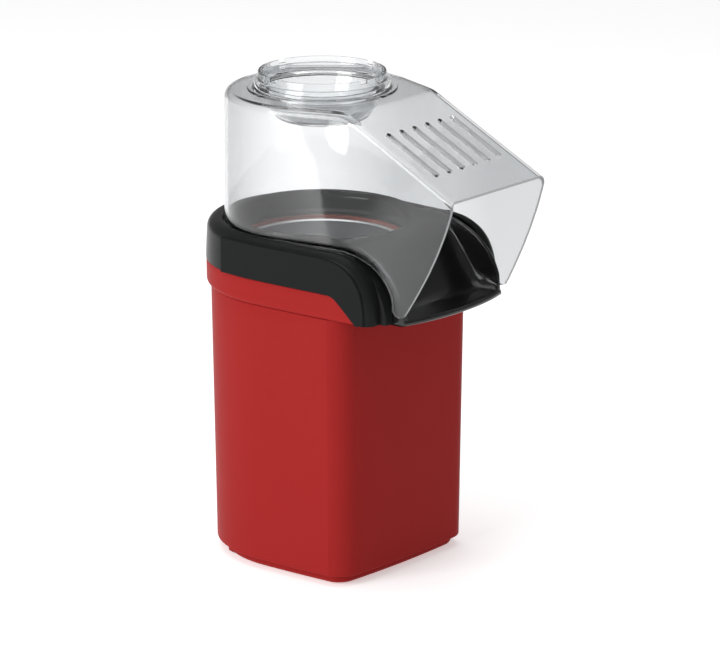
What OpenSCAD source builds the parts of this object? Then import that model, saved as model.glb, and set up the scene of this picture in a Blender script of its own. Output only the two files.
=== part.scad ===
// Hot-air popcorn maker: red lower housing, black collar with a chute, clear cover with a measuring cup,
// and inside it a popping chamber, a heater and a motor-driven fan.
// +Z is up and the chute points along -Y. Z = 0 is the surface the machine stands on.
// Inside each module, Y = 0 is the upright axis of the fan, the chamber and the cup.

/* [Lower housing] */
// Half of the housing's width at its foot
housing_half_w = 60.1; // [56:0.1:66]
// How much further the front face stands from the upright axis than the sides do
front_extra = 5.4; // [2:0.1:10]
// How much further the back stands from the upright axis than the sides do
back_extra = 4.9; // [2:0.1:10]
// How much each side of the housing flares out on its way up
housing_flare = 2.6; // [1:0.1:5]
// Height of the rim band above the step
band_h = 15.4; // [10:0.1:20]
// Wall thickness of the housing and of the collar
shell_wall = 2.5; // [1.6:0.1:3.5]
// Radius of the rounded front corners
corner_r = 16; // [10:0.5:20]
// Gap between the table and the housing's lower edge
housing_lift = 6; // [4:0.5:10]

/* [Base] */
// How far the foot ring is set in from the housing
foot_inset = 4.6; // [3:0.1:8]
// Thickness of the base plate
base_t = 3.5; // [2.5:0.1:5]
// How far the rubber feet stand out under the base plate
foot_proud = 1; // [0.5:0.1:2]
// Radius of a rubber foot
foot_r = 6; // [4:0.5:8]

/* [Collar] */
// How far the collar stands out beside the flared housing
collar_side_out = 3.6; // [2.5:0.1:6]
// How far the collar stands out behind the flared housing
collar_back_out = 3.4; // [2.5:0.1:6]
// Height of the collar's crest above the housing's step
collar_rise = 40; // [36:1:48]
// Radius of the rounded shoulder
shoulder_r = 6; // [4:0.5:7]
// How far the side cheeks stand out in front of the housing's front face
cheek_out = 19.5; // [15:0.5:26]

/* [Chute] */
// How far the spout's lip stands out in front of the cheeks
spout_out = 20; // [14:0.5:27]
// How much further in the chute's sides lie than the cover's drum
chute_inset = 12.9; // [12.5:0.1:18]
// Thickness of the tray, its rails and the spout
tray_wall = 2.6; // [1.8:0.1:3]
// Height of the spout's floor above the housing's step
spout_floor = 3.3; // [3:0.1:8]

/* [Cover] */
// How much further in the cover's drum lies than the collar's sides
cover_inset = 8.8; // [7.5:0.1:11]
// Wall thickness of the cover
cover_wall = 2; // [1.4:0.1:2.6]
// Height of the cover from its seat to its top plate
cover_h = 79; // [70:1:95]
// How far the hood's lip stands out in front of the cheeks
hood_out = 45.4; // [38:0.1:55]
// How far the lip lies below the top plate
lip_drop = 39.6; // [32:0.1:48]
// How much narrower the hood is at its crease than the drum, on each side
hood_taper = 15.5; // [12:0.5:20]
// Flat margin between the cup's seat and the crease of the hood
crease_margin = 6.8; // [3:0.1:12]
// Number of vent slots in the hood
vent_count = 6; // [3:1:7]
// Distance from one vent slot to the next
vent_pitch = 11.6; // [9:0.1:12]
// Width of a vent slot
vent_w = 3.2; // [2:0.1:5]
// Length of a vent slot along the hood
vent_len = 42; // [25:1:50]

/* [Measuring cup] */
// Outer radius of the cup's upper ring
cup_r = 37.5; // [32:0.1:40]
// Height of the cup's rim above the top plate
cup_rise = 10.5; // [8:0.1:14]
// Depth of the cup below the top plate
cup_depth = 18; // [12:1:26]
// Wall thickness of the cup
cup_wall = 1.7; // [1.2:0.1:2.2]

/* [Popping chamber] */
// Width of the tray's rim around the throat
throat_rim = 3.2; // [2.6:0.1:5]
// How much smaller the chamber's inner radius is than the throat's
chamber_inset = 6.5; // [5.5:0.1:10]
// Depth of the popping chamber
chamber_depth = 70; // [60:1:90]
// Thickness of the chamber's sheet metal
sheet_t = 1; // [0.8:0.1:1.2]
// Number of louvres around the chamber's foot
louvre_count = 18; // [12:1:24]

/* [Heater] */
// Air gap between the chamber and the outside of the heat shield
shield_space = 6.3; // [4:0.1:6.5]
// Height of the mica boards
board_h = 26; // [24:1:34]
// Gap between the mica boards and the chamber
heater_gap = 7.3; // [3:0.1:12]
// Thickness of the mica boards
mica_t = 0.8; // [0.6:0.1:1.2]
// Outer radius of one turn of the heating coils
coil_r = 2; // [1.5:0.1:2.5]

/* [Fan and motor] */
// Room between the base plate and the rectifier under the motor
motor_space = 4.6; // [3:0.1:12]
// Length of the motor's can
can_h = 34; // [32:1:42]
// Height of the blower housing
blower_h = 30; // [27:1:38]
// Outer radius of the fan
fan_r = 36; // [30:1:43]
// Number of fan blades
blade_count = 10; // [6:1:14]
// Radius of the motor's shaft
shaft_r = 1.59; // [1.5:0.01:2]
// Radius of the motor's can
motor_r = 17; // [15:0.5:20.5]

/* [Switch and cord gland] */
// Width of the switch cut-out
switch_w = 19; // [17:0.5:22]
// Height of the switch cut-out
switch_h = 13; // [12:0.5:15]
// Height of the switch's centre above the table
switch_z = 38; // [34:1:42]
// Full swing of the rocker from off to on
rocker_swing = 18; // [10:1:24]
// Radius of the hole that the cord passes through
cord_hole_r = 3.3; // [2.5:0.1:4]
// Height of the cord gland above the table
gland_z = 18; // [17:0.5:20]

/* [Clearances] */
// Gap between a lifted piece and its seat
seat_gap = 0.3; // [0.2:0.05:0.5]
// Gap beside a piece that lifts out
side_gap = 0.8; // [0.4:0.1:1.2]
// Gap between fixed pieces that meet
joint_gap = 0.1; // [0.05:0.05:0.2]
// Radial play of the shaft in its bushes and of the rocker's pivot
running_gap = 0.04; // [0.02:0.01:0.08]

/* [Hidden] */
$fn = 72;
eps = 0.01;
far = 200;

// Distances from the upright axis in plan
housing_front = housing_half_w + front_extra;
housing_back = housing_half_w + back_extra;
collar_half_w = housing_half_w + housing_flare + collar_side_out;
collar_back = housing_back + housing_flare + collar_back_out;
cheek_front = housing_front + cheek_out;
spout_reach = cheek_front + spout_out;
lip_reach = cheek_front + hood_out;
cover_r = collar_half_w - cover_inset;
chute_half_w = cover_r - chute_inset;
hood_half_w = cover_r - hood_taper;
cup_flange = 6.5;
crease_y = cup_r + cup_flange + crease_margin;
tray_r = cover_r - cover_wall - side_gap;
throat_r = tray_r - throat_rim;
chamber_r = throat_r - chamber_inset;
shield_r = chamber_r + sheet_t + shield_space;

// The upright axis stands behind the middle of the machine's depth
axis_y = (lip_reach - collar_back) / 2;

// Heights, stacked up from the base plate to the collar
cap_t = 3;
board_t = 1.6;
diode_r = 1.5;
cap_gap = 3;
rectifier_z = foot_proud + base_t + motor_space + 2 * diode_r + 2 * joint_gap;
can_foot = rectifier_z + board_t + cap_gap + cap_t;
can_top = can_foot + can_h;
blower_z = can_top + joint_gap;
blower_top = blower_z + blower_h;
heater_base_t = 0.8;
shield_foot = blower_top + heater_base_t;
board_foot = shield_foot + 0.4;
chamber_foot = board_foot + board_h + heater_gap;
chamber_top = chamber_foot + chamber_depth;
seal_t = 2;
throat_foot = chamber_top + seal_t;
ledge_z = throat_foot + 9.7;
ledge_drop = 1.8;
collar_top = ledge_z + ledge_drop;
step_z = collar_top - collar_rise;

// Plan shape of the housing
side_bow = 1.4;
front_crown = 1.5;
crease_angle = 18;
corner_end = 5;

// Plan and outline of the collar
cheek_bow = 4.3;
collar_low = step_z + band_h + joint_gap;
cheek_run = 37;
cheek_start = cheek_front - cheek_run;
cheek_power = 0.8;
rail_power = 0.9;
band_inset = 0.8;
band_t = 4.7;
cheek_cut_y = housing_front - 5.5;
cheek_toe_y = cheek_front - 9;

// Measuring cup
cup_neck_r = cup_r - 2.7;

// Cover seat and trench
ledge_t = 2.6;
cover_foot = ledge_z + seat_gap;
cover_top = cover_foot + cover_h;
cover_arch_y = cheek_start + 2;
cover_arch_run = cheek_run + 5;
cover_tip_drop = 28.2;
tip_r = 4.8;
tip_y = cover_arch_y + cover_arch_run + tip_r;
tip_z = cover_foot - cover_tip_drop;
tip_half_w = chute_half_w + side_gap + cover_wall + 0.4;
lip_z = cover_top - lip_drop;
hood_slope = atan(lip_drop / (lip_reach - crease_y));
edge_r = 4.5;
top_fillet = 5;
vent_mid_y = (crease_y + lip_reach) / 2 + 0.9;

// Tray levels
rail_top = ledge_z + 4.8;
tray_plateau = collar_top;
spout_z = step_z + spout_floor;
lip_foot = step_z - 2;
ramp_start = throat_r - 1;
ramp_end = cheek_front + 3;
rail_start = cheek_start - 3;
rail_end = spout_reach - 6;
tray_foot = ledge_z - ledge_t - joint_gap;
throat_lip_h = 2.5;
ear_t = 2.1;
throat_gap_y = throat_r - 23.5;
throat_gap_w = 2 * (chute_half_w - 8.6);
tray_screw_r = tray_r + 5.6;
tray_screw_angles = [12, 168, -28, 208, 90];

// Chamber and heater
flange_t = 1.2;
chamber_flange_r = chamber_r + 9;
ear_pos_r = chamber_flange_r + 3;
ear_r = 3.5;
shield_top = chamber_top - flange_t - joint_gap;
shield_t = 0.8;
shield_flange_r = shield_r + 5.7;
stack_screw_r = shield_r + 2.9;
board_half = shield_r - 6.3;
coil_z = board_foot + 14;
coil_rings = [board_half - 26, board_half - 16, board_half - 6];
quarters = [45, 135, 225, 315];

// Motor and fan
plate_t = 2;
can_t = 1.2;
motor_screw_x = 9.5;
bush_r = 3.5;
magnet_t = 2.9;
magnet_gap = 0.6;
core_r = motor_r - can_t - magnet_t - magnet_gap;
core_h = 18;
core_foot = can_foot + 9;
hub_r = 7;
fan_foot = blower_z + plate_t + 2;
fan_top = fan_foot + 18;
shaft_foot = can_foot - cap_t - 1.5;
shaft_top = fan_top + 7;

// Terminal block
block_x = housing_half_w - 23.6;

// Screws
screw_r = 1.45;
pilot_r = 1.5;
head_r = 2.9;
head_h = 2.2;
base_boss_r = 4;
base_boss_top = 40;
base_screw_x = housing_half_w - 14.1;
base_screw_front = housing_front - 20.5;
base_screw_back = housing_back - 18;
base_screw_spots = [[-base_screw_x, -base_screw_front], [base_screw_x, -base_screw_front],
    [-28, base_screw_back], [28, base_screw_back]];
post_r = 3.5;
post_x = housing_half_w - 7.1;
post_front = housing_front - 18.5;
back_post_r = chamber_flange_r + post_r + 0.73;
back_post_x = back_post_r * cos(60.13);
back_post_y = back_post_r * sin(60.13);
post_spots = [[-post_x, -post_front], [post_x, -post_front],
    [-back_post_x, back_post_y], [back_post_x, back_post_y]];
lug_z = step_z - 12;
lug_t = 4;
rib_len = 30;
foot_front_x = housing_half_w - 27.1;
foot_back_x = housing_half_w - 20.1;
foot_front_y = housing_front - 19.5;
foot_back_y = housing_back - 35;
foot_spots = [[-foot_front_x, -foot_front_y], [foot_front_x, -foot_front_y],
    [-foot_back_x, foot_back_y], [foot_back_x, foot_back_y]];

// Switch
pad_face = housing_back + 2;
bezel_t = 1.8;
bezel_lip = 1.4;
switch_depth = 17;
rocker_half_h = 5;
rocker_half_w = 7;
rocker_play = 0.9;
pivot_y = pad_face - 1.2;
pivot_r = 1.3;
gland_neck_r = cord_hole_r + 2.2;

// ---------- plan outlines ----------

function arc_points(cx, cy, r, a0, a1, n) =
    [for (i = [0:n]) let (a = a0 + (a1 - a0) * i / n) [cx + r * cos(a), cy + r * sin(a)]];

// D-shaped plan: half-oval back, gently bowed sides, a crease, a rounded corner and a crowned front
function housing_plan(inset, flare) =
    let (
        hw = housing_half_w - inset + flare,
        front = housing_front - inset + flare / 3,
        back = housing_back - inset + flare,
        r = corner_r - inset,
        cx = hw - side_bow - r * cos(crease_angle),
        cy = -(front - front_crown) + r * cos(corner_end),
        crease = cy - r * sin(crease_angle),
        end_x = cx + r * sin(corner_end),
        sides = 8,
        right = concat(
            [for (i = [1:sides - 1]) let (s = 2 * i / sides - 1)
                [end_x * s, -front + front_crown * s * s]],
            arc_points(cx, cy, r, -90 + corner_end, -crease_angle, 6),
            [for (i = [1:sides - 1]) let (s = 1 - i / sides) [hw - side_bow * s * s, crease * s]]
        )
    )
    concat(
        [for (i = [0:48]) let (t = 180 * i / 48) [hw * cos(t), back * sin(t)]],
        [for (i = [1:sides - 1]) let (s = i / sides) [-hw + side_bow * s * s, crease * s]],
        arc_points(-cx, cy, r, 180 + crease_angle, 270 - corner_end, 6),
        right
    );

// The collar's plan: half-oval back, bowed cheeks and a half-oval spout front
function collar_plan(inset) =
    let (
        hw = collar_half_w - inset,
        back = collar_back - inset,
        x_end = hw - cheek_bow,
        reach = spout_reach - cheek_front,
        sides = 8
    )
    concat(
        [for (i = [0:48]) let (t = 180 * i / 48) [hw * cos(t), back * sin(t)]],
        [for (i = [1:sides]) let (s = i / sides) [-hw + cheek_bow * s * s, -(cheek_front - 1) * s]],
        [for (i = [1:31]) let (t = 180 * i / 32)
            [-x_end * cos(t), -cheek_front + 1 - (reach + 1 - inset) * sin(t)]],
        [for (i = [0:sides - 1]) let (s = 1 - i / sides) [hw - cheek_bow * s * s, -(cheek_front - 1) * s]]
    );

// A quarter arch seen from the side, as [depth in front of the axis, height]
function arch_points(y0, z0, run, rise, power, n = 14) =
    [for (i = [0:n]) let (t = 90 * i / n)
        [-(y0 + run * pow(sin(t), power)), z0 + rise * pow(max(cos(t), 0), power)]];

function ramp_z(s) = tray_plateau - (tray_plateau - spout_z) * (3 * s * s - 2 * s * s * s);

// ---------- helpers ----------

module on_axis() translate([0, axis_y, 0]) children();

module slice(z, points) translate([0, 0, z]) linear_extrude(eps) polygon(points);

// Extrudes a [y, z] outline along X, centred on X = 0
module side_extrude(width, points)
    translate([-width / 2, 0, 0]) rotate([90, 0, 90]) linear_extrude(width) polygon(points);

module ring(z, h, r_out, r_in) translate([0, 0, z]) difference() {
    cylinder(h = h, r = r_out);
    translate([0, 0, -1]) cylinder(h = h + 2, r = r_in);
}

module at_spots(spots) for (p = spots) translate([p[0], p[1], 0]) children();

module at_angles(angles, r) for (a = angles) rotate([0, 0, a]) translate([r, 0, 0]) children();

module screw(z, shank, head_up = false) {
    translate([0, 0, z]) cylinder(h = shank, r = screw_r, $fn = 24);
    difference() {
        translate([0, 0, head_up ? z + shank - eps : z - head_h]) cylinder(h = head_h, r = head_r, $fn = 24);
        for (a = [0, 90]) rotate([0, 0, a])
            translate([-1.6, -0.35, head_up ? z + shank + head_h - 1 : z - head_h - 1]) cube([3.2, 0.7, 2]);
    }
}

// ---------- lower housing and base ----------

module housing_solid(z0, inset) hull() {
    slice(z0, housing_plan(inset, housing_flare * (z0 - housing_lift) / (step_z - housing_lift)));
    slice(step_z - eps, housing_plan(inset, housing_flare));
}

module band_profile() side_extrude(2 * far, [
    [far, step_z - 1], [far, step_z + band_h], [-cheek_cut_y, step_z + band_h],
    [-cheek_toe_y, step_z], [-cheek_toe_y, step_z - 1]
]);

module lower_housing() on_axis() color("firebrick") difference() {
    union() {
        difference() {
            housing_solid(housing_lift, 0);
            housing_solid(housing_lift - eps, shell_wall);
            translate([0, 0, housing_lift - 1]) linear_extrude(1.001) polygon(housing_plan(shell_wall, 0));
            translate([0, 0, step_z - 0.1]) linear_extrude(1)
                polygon(housing_plan(shell_wall, housing_flare));
        }
        intersection() {
            difference() {
                hull() {
                    slice(step_z, collar_plan(band_inset + 1.8));
                    slice(step_z + 3, collar_plan(band_inset + 0.5));
                    slice(step_z + band_h - eps, collar_plan(band_inset));
                }
                translate([0, 0, step_z - 1]) linear_extrude(band_h + 2)
                    polygon(collar_plan(band_inset + band_t));
            }
            band_profile();
        }
        // Columns that take the base screws
        intersection() {
            housing_solid(housing_lift, 0);
            at_spots(base_screw_spots) translate([0, 0, housing_lift + 4])
                cylinder(h = base_boss_top - housing_lift - 4, r = base_boss_r);
        }
        intersection() {
            housing_solid(housing_lift, shell_wall / 2);
            for (p = base_screw_spots)
                translate([p[0] > 0 ? p[0] : p[0] - rib_len, p[1] - 1.2, housing_lift + 4])
                    cube([rib_len, 2.4, base_boss_top - 12]);
        }
        // Lugs that carry the collar's posts
        intersection() {
            housing_solid(lug_z - 20, shell_wall / 2);
            for (p = post_spots) {
                translate([p[0], p[1], lug_z]) cylinder(h = lug_t, r = post_r + 1);
                translate([p[0] > 0 ? p[0] : p[0] - rib_len, p[1] - 2.5, lug_z]) cube([rib_len, 5, lug_t]);
            }
        }
        // Flat pads for the switch and the cord gland
        translate([-switch_w / 2 - 4, housing_back - 5, switch_z - switch_h / 2 - 3])
            cube([switch_w + 8, pad_face - housing_back + 5, switch_h + 6]);
        translate([0, pad_face, gland_z]) rotate([90, 0, 0])
            cylinder(h = pad_face - housing_back + shell_wall, r = 9.5);
    }
    at_spots(base_screw_spots) translate([0, 0, housing_lift]) cylinder(h = 17.5, r = pilot_r);
    at_spots(post_spots) translate([0, 0, lug_z - 1]) cylinder(h = lug_t + 2, r = pilot_r + joint_gap);
    translate([-switch_w / 2, housing_back - 10, switch_z - switch_h / 2])
        cube([switch_w, 20, switch_h]);
    translate([0, pad_face + 1, gland_z]) rotate([90, 0, 0]) cylinder(h = 20, r = gland_neck_r + joint_gap);
}

module base_plate() on_axis() color("firebrick") difference() {
    union() {
        difference() {
            hull() {
                slice(foot_proud, housing_plan(foot_inset + 1, 0));
                slice(foot_proud + 1.5, housing_plan(foot_inset, 0));
                slice(housing_lift - eps, housing_plan(foot_inset, 0));
            }
            translate([0, 0, foot_proud + base_t]) linear_extrude(10)
                polygon(housing_plan(foot_inset + 2.5, 0));
        }
        difference() {
            translate([0, 0, housing_lift - eps]) linear_extrude(4)
                polygon(housing_plan(shell_wall + 2 * joint_gap, 0));
            translate([0, 0, housing_lift - 1]) linear_extrude(6) polygon(housing_plan(foot_inset + 2.5, 0));
        }
        at_spots(base_screw_spots) translate([0, 0, foot_proud])
            cylinder(h = housing_lift + 4 - foot_proud - joint_gap, r = base_boss_r + 0.6);
        at_spots(foot_spots) translate([0, 0, foot_proud]) cylinder(h = 4.6, r = foot_r + 1.5);
    }
    at_spots(base_screw_spots) {
        translate([0, 0, -1]) cylinder(h = 30, r = pilot_r + joint_gap);
        translate([0, 0, -1]) cylinder(h = foot_proud + 1 + head_h + 0.8, r = head_r + 0.4);
    }
    at_spots(foot_spots) translate([0, 0, -1]) cylinder(h = foot_proud + 1 + 2.4, r = foot_r);
    // Air intake slots
    for (i = [-4:4]) translate([i * 6 - 1.5, -26, -1]) cube([3, 52, base_t + 3]);
}

module rubber_feet() on_axis() color([0.1, 0.1, 0.1]) at_spots(foot_spots) {
    cylinder(h = foot_proud + 2.4, r = foot_r - joint_gap);
}

module base_screws() on_axis() color("silver") at_spots(base_screw_spots)
    screw(foot_proud + 0.8 + head_h, 18);

// ---------- collar and chute ----------

module collar_solid() hull() {
    slice(step_z, collar_plan(0));
    slice(collar_low + 6, collar_plan(0.2));
    slice(collar_top - shoulder_r - 2, collar_plan(1));
    for (t = [20:17.5:90])
        slice(collar_top - shoulder_r * (1 - sin(t)) - eps, collar_plan(1 + shoulder_r * (1 - cos(t))));
}

// Side outline of the cheeks: level at the back, an arch at the front, and a slanted lower front edge
module cheek_profile(front_cut, top_cut, back_cut) side_extrude(2 * far, concat(
    [[far, collar_low - back_cut], [far, collar_top - top_cut]],
    arch_points(cheek_start, step_z + 1, cheek_run - front_cut, collar_rise - 1 - top_cut, cheek_power),
    [[-(cheek_front - front_cut), step_z - back_cut], [-cheek_toe_y - 1, step_z - back_cut],
        [-cheek_cut_y - 1, collar_low - back_cut]]
));

// Hollow of the cheeks, closed underneath where they stand out in front of the housing
module cheek_room() side_extrude(2 * far, concat(
    [[far, step_z - 10], [far, ledge_z - ledge_t]],
    arch_points(cheek_start, step_z + 2, cheek_run - shell_wall - 0.5,
        ledge_z - ledge_t - step_z - 2, cheek_power),
    [[-cheek_toe_y - 2.5, step_z + 2], [-cheek_cut_y - 2, collar_low + 3], [-cheek_cut_y - 2, step_z - 10]]
));

// Side outline of the trench that the cover's lower edge stands in
module trench_profile(cut) side_extrude(2 * far, concat(
    [[far, 0], [far, ledge_z - cut]],
    arch_points(cover_arch_y, tip_z - 9, cover_arch_run - 2 - cut, ledge_z - tip_z + 9 - cut, 1),
    [[-(cover_arch_y + cover_arch_run - 2 - cut), 0]]
));

module seat_plan(grow) hull() {
    circle(r = cover_r + grow, $fn = 96);
    for (s = [-1, 1]) translate([s * (tip_half_w - 1 + grow), -(tip_y + tip_r + 14)]) circle(r = 1);
}

module collar() on_axis() color([0.16, 0.17, 0.17]) difference() {
    union() {
        difference() {
            intersection() {
                collar_solid();
                union() {
                    cheek_profile(0, 0, 0);
                    intersection() {
                        trench_profile(0);
                        translate([0, 0, step_z]) linear_extrude(far) seat_plan(side_gap);
                        translate([-far, -far, step_z]) cube([2 * far, far - cheek_toe_y, far]);
                    }
                }
            }
            // Room inside the cheeks and under the ledge
            intersection() {
                translate([0, 0, step_z - 5]) linear_extrude(far) polygon(collar_plan(shell_wall));
                cheek_room();
            }
            // The seat of the cover, cut down to the trench
            difference() {
                translate([0, 0, step_z - 1]) linear_extrude(far) seat_plan(side_gap);
                trench_profile(0);
            }
        }
        at_spots(post_spots) translate([0, 0, lug_z + lug_t + joint_gap])
            cylinder(h = ledge_z - 1 - lug_z - lug_t - joint_gap, r = post_r);
        for (a = tray_screw_angles) rotate([0, 0, a]) translate([tray_screw_r, 0, ledge_z - ledge_t])
            cylinder(h = 2.5, r = 2.6);
    }
    // Opening for the tray
    translate([0, 0, step_z - 5]) cylinder(h = far, r = tray_r + 0.4, $fn = 128);
    translate([-(chute_half_w + seat_gap), -far, step_z - 5])
        cube([2 * (chute_half_w + seat_gap), far - throat_gap_y, far]);
    at_spots(post_spots) translate([0, 0, lug_z]) cylinder(h = 18, r = pilot_r);
    at_angles(tray_screw_angles, tray_screw_r) translate([0, 0, ledge_z - 4]) cylinder(h = 3.4, r = pilot_r);
}

module collar_screws() on_axis() color("silver") at_spots(post_spots) screw(lug_z - joint_gap, 15);

module chute_tray() on_axis() color([0.08, 0.08, 0.08]) difference() {
    union() {
        // Throat ring with a rounded crest
        rotate_extrude($fn = 128) polygon([
            [throat_r - 3, throat_foot], [tray_r, throat_foot], [tray_r, rail_top - 1.2],
            [tray_r - 0.5, rail_top - 0.3], [tray_r - 1.6, rail_top], [throat_r + 0.7, rail_top - 0.3],
            [throat_r, rail_top - 1.2], [throat_r, throat_foot + throat_lip_h],
            [throat_r - 3, throat_foot + throat_lip_h]
        ]);
        // Floor: level beside the throat, then a ramp down to the spout's lip
        intersection() {
            side_extrude(2 * chute_half_w, concat(
                [[-throat_gap_y, tray_plateau - tray_wall], [-throat_gap_y, tray_plateau],
                    [-ramp_start, tray_plateau]],
                [for (i = [1:12]) let (s = i / 12) [-(ramp_start + (ramp_end - ramp_start) * s), ramp_z(s)]],
                [[-far, spout_z - 0.6], [-far, lip_foot], [-ramp_end - 1, lip_foot]],
                [for (i = [0:12]) let (s = 1 - i / 12)
                    [-(ramp_start + 1.8 - tray_wall * 1.6 + (ramp_end - ramp_start) * s),
                        max(ramp_z(s) - tray_wall, step_z)]]
            ));
            spout_front();
        }
        // Rails on both sides of the chute
        intersection() {
            union() for (s = [-1, 1])
                translate([s * (chute_half_w - tray_wall / 2) - tray_wall / 2, -far, lip_foot])
                    cube([tray_wall, far - throat_gap_y - 2, far]);
            side_extrude(2 * far, concat(
                [[-throat_gap_y, tray_foot], [-throat_gap_y, rail_top]],
                arch_points(rail_start, step_z - 1, rail_end - rail_start, rail_top - step_z + 1, rail_power),
                [[-rail_end, lip_foot], [-cheek_toe_y - 4, lip_foot], [-cheek_toe_y - 2, step_z + joint_gap],
                    [-rail_start - 5, step_z + joint_gap], [-rail_start - 1, tray_foot]]
            ));
            spout_front();
        }
        // Underside that closes the spout against the housing's front
        translate([-chute_half_w, -ramp_end - 2, step_z + joint_gap])
            cube([2 * chute_half_w, ramp_end + 2 - (housing_front - 7.5), tray_wall - 0.6]);
        // Ears for the tray's screws and posts for the chamber's screws
        at_angles(tray_screw_angles, tray_screw_r) ear();
        at_angles(quarters, ear_pos_r) translate([0, 0, chamber_top + joint_gap])
            cylinder(h = tray_foot - chamber_top - joint_gap, r = ear_r);
    }
    // The throat itself, and the gap in its crest towards the chute
    translate([0, 0, throat_foot - 1]) cylinder(h = far, r = throat_r - 3, $fn = 128);
    translate([0, 0, throat_foot + throat_lip_h]) cylinder(h = far, r = throat_r, $fn = 128);
    translate([-throat_gap_w / 2, -far, tray_plateau]) cube([throat_gap_w, far - throat_gap_y, far]);
    at_angles(quarters, ear_pos_r) translate([0, 0, chamber_top - 1]) cylinder(h = 8.5, r = pilot_r);
    at_angles(tray_screw_angles, tray_screw_r) translate([0, 0, tray_foot - 9])
        cylinder(h = 12, r = pilot_r + joint_gap);
}

// Bounds the tray at the front: crowned in plan and rounded back under the spout's lip
module spout_front() {
    hull() {
        slice(lip_foot, collar_plan(4.5));
        slice(lip_foot + 6.5, collar_plan(0.3));
    }
    translate([0, 0, lip_foot + 6.5]) linear_extrude(far) polygon(collar_plan(0.3));
}

// One ear of the tray: a round end joined to the throat by a web
module ear() translate([0, 0, tray_foot - ear_t]) {
    cylinder(h = ear_t, r = 2.9);
    translate([-(tray_screw_r - tray_r) - 1.2, -2.5, 0]) cube([tray_screw_r - tray_r + 1.2, 5, ear_t]);
}

module tray_screws() on_axis() color("silver") at_angles(tray_screw_angles, tray_screw_r)
    screw(tray_foot - ear_t - joint_gap, 4.1);

// ---------- clear cover and cup ----------

// Outer skin of the cover, shrunk by inset for its inside; stretch opens the front and the foot
module cover_solid(inset, stretch) hull() {
    translate([0, 0, tip_z - 12 - stretch]) cylinder(h = 1, r = cover_r - inset, $fn = 96);
    for (t = [0:22.5:90])
        translate([0, 0, cover_top - top_fillet + (top_fillet - inset) * sin(t) - eps])
            cylinder(h = eps, r = cover_r - 0.5 - top_fillet + (top_fillet - inset) * cos(t), $fn = 96);
    for (s = [-1, 1]) {
        translate([s * (hood_half_w - edge_r), -(crease_y - edge_r * 0.24), cover_top - edge_r])
            sphere(r = edge_r - inset, $fn = 24);
        translate([0, -(14 + stretch) * cos(hood_slope), -(14 + stretch) * sin(hood_slope)])
            translate([s * (hood_half_w + 0.8 - edge_r), -(lip_reach - edge_r * 0.24), lip_z - edge_r * 0.9])
                sphere(r = edge_r - inset, $fn = 24);
        translate([s * (tip_half_w - edge_r - stretch * 0.1), -(tip_y + tip_r + 12 + stretch),
                tip_z - 10 - stretch])
            sphere(r = edge_r - inset, $fn = 24);
    }
}

// Side outline of the cover: level foot, an arch down to the tips, and a bowed free edge up to the lip
module cover_profile() side_extrude(2 * far, concat(
    [[far, cover_foot]],
    arch_points(cover_arch_y, tip_z, cover_arch_run, cover_foot - tip_z, 1),
    [for (a = [200:20:340]) [-(tip_y + tip_r * cos(a)), tip_z + tip_r * sin(a)]],
    [for (i = [1:12]) let (t = i / 12)
        [-(pow(1 - t, 2) * (tip_y + 4.3) + 2 * t * (1 - t) * (lip_reach - 8) + t * t * lip_reach),
            pow(1 - t, 2) * (tip_z - 1.5) + 2 * t * (1 - t) * (lip_z - 32) + t * t * lip_z]],
    [[-lip_reach, far * 2], [far, far * 2]]
));

module clear_cover() on_axis() color([0.8, 0.85, 0.88, 0.5]) difference() {
    union() {
        intersection() {
            difference() {
                cover_solid(0, 0);
                cover_solid(cover_wall, 3);
            }
            cover_profile();
        }
        // Seat flange and standing ring for the cup
        ring(cover_top - cover_wall / 2, cover_wall / 2 + 1.2, cup_r + cup_flange, cup_r - 4);
        ring(cover_top - cover_wall / 2, cover_wall / 2 + cup_rise - 4,
            cup_r + seat_gap + 2.3, cup_r + seat_gap);
    }
    translate([0, 0, cover_top - 20]) cylinder(h = 40, r = cup_neck_r + seat_gap, $fn = 96);
    translate([0, 0, cover_top + eps]) cylinder(h = 40, r = cup_r + seat_gap, $fn = 96);
    for (i = [0:vent_count - 1]) vent_slot((i - (vent_count - 1) / 2) * vent_pitch);
}

module vent_slot(x) translate([x, -vent_mid_y, cover_top - (vent_mid_y - crease_y) * tan(hood_slope)])
    rotate([hood_slope, 0, 0]) {
        translate([-vent_w / 2, -vent_len / 2 + vent_w / 2, -8]) cube([vent_w, vent_len - vent_w, 16]);
        for (s = [-1, 1]) translate([0, s * (vent_len - vent_w) / 2, -8])
            cylinder(h = 16, r = vent_w / 2, $fn = 24);
    }

module measuring_cup() on_axis() color([0.85, 0.9, 0.92, 0.5])
translate([0, 0, cover_top + seat_gap]) difference() {
    rotate_extrude($fn = 96) polygon([
        [0, -cup_depth], [cup_neck_r - 8.5, -cup_depth], [cup_neck_r - 6.5, -cup_depth + 1.2],
        [cup_neck_r - 5.6, -cup_depth + 4], [cup_neck_r - 0.6, -0.8], [cup_neck_r, 0], [cup_r, 0],
        [cup_r, cup_rise - seat_gap], [cup_r - cup_wall, cup_rise - seat_gap], [cup_r - cup_wall, cup_wall],
        [cup_neck_r - cup_wall, cup_wall], [cup_neck_r - 6 - cup_wall, -cup_depth + 4.5],
        [cup_neck_r - 8 - cup_wall, -cup_depth + cup_wall], [0, -cup_depth + cup_wall]
    ]);
    // Notches in the rim
    for (a = [-10:90:260]) rotate([0, 0, a]) translate([cup_r - 3, -2.5, cup_rise - seat_gap - 2.2])
        cube([6, 5, 5]);
}

// ---------- popping chamber and heater ----------

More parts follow.
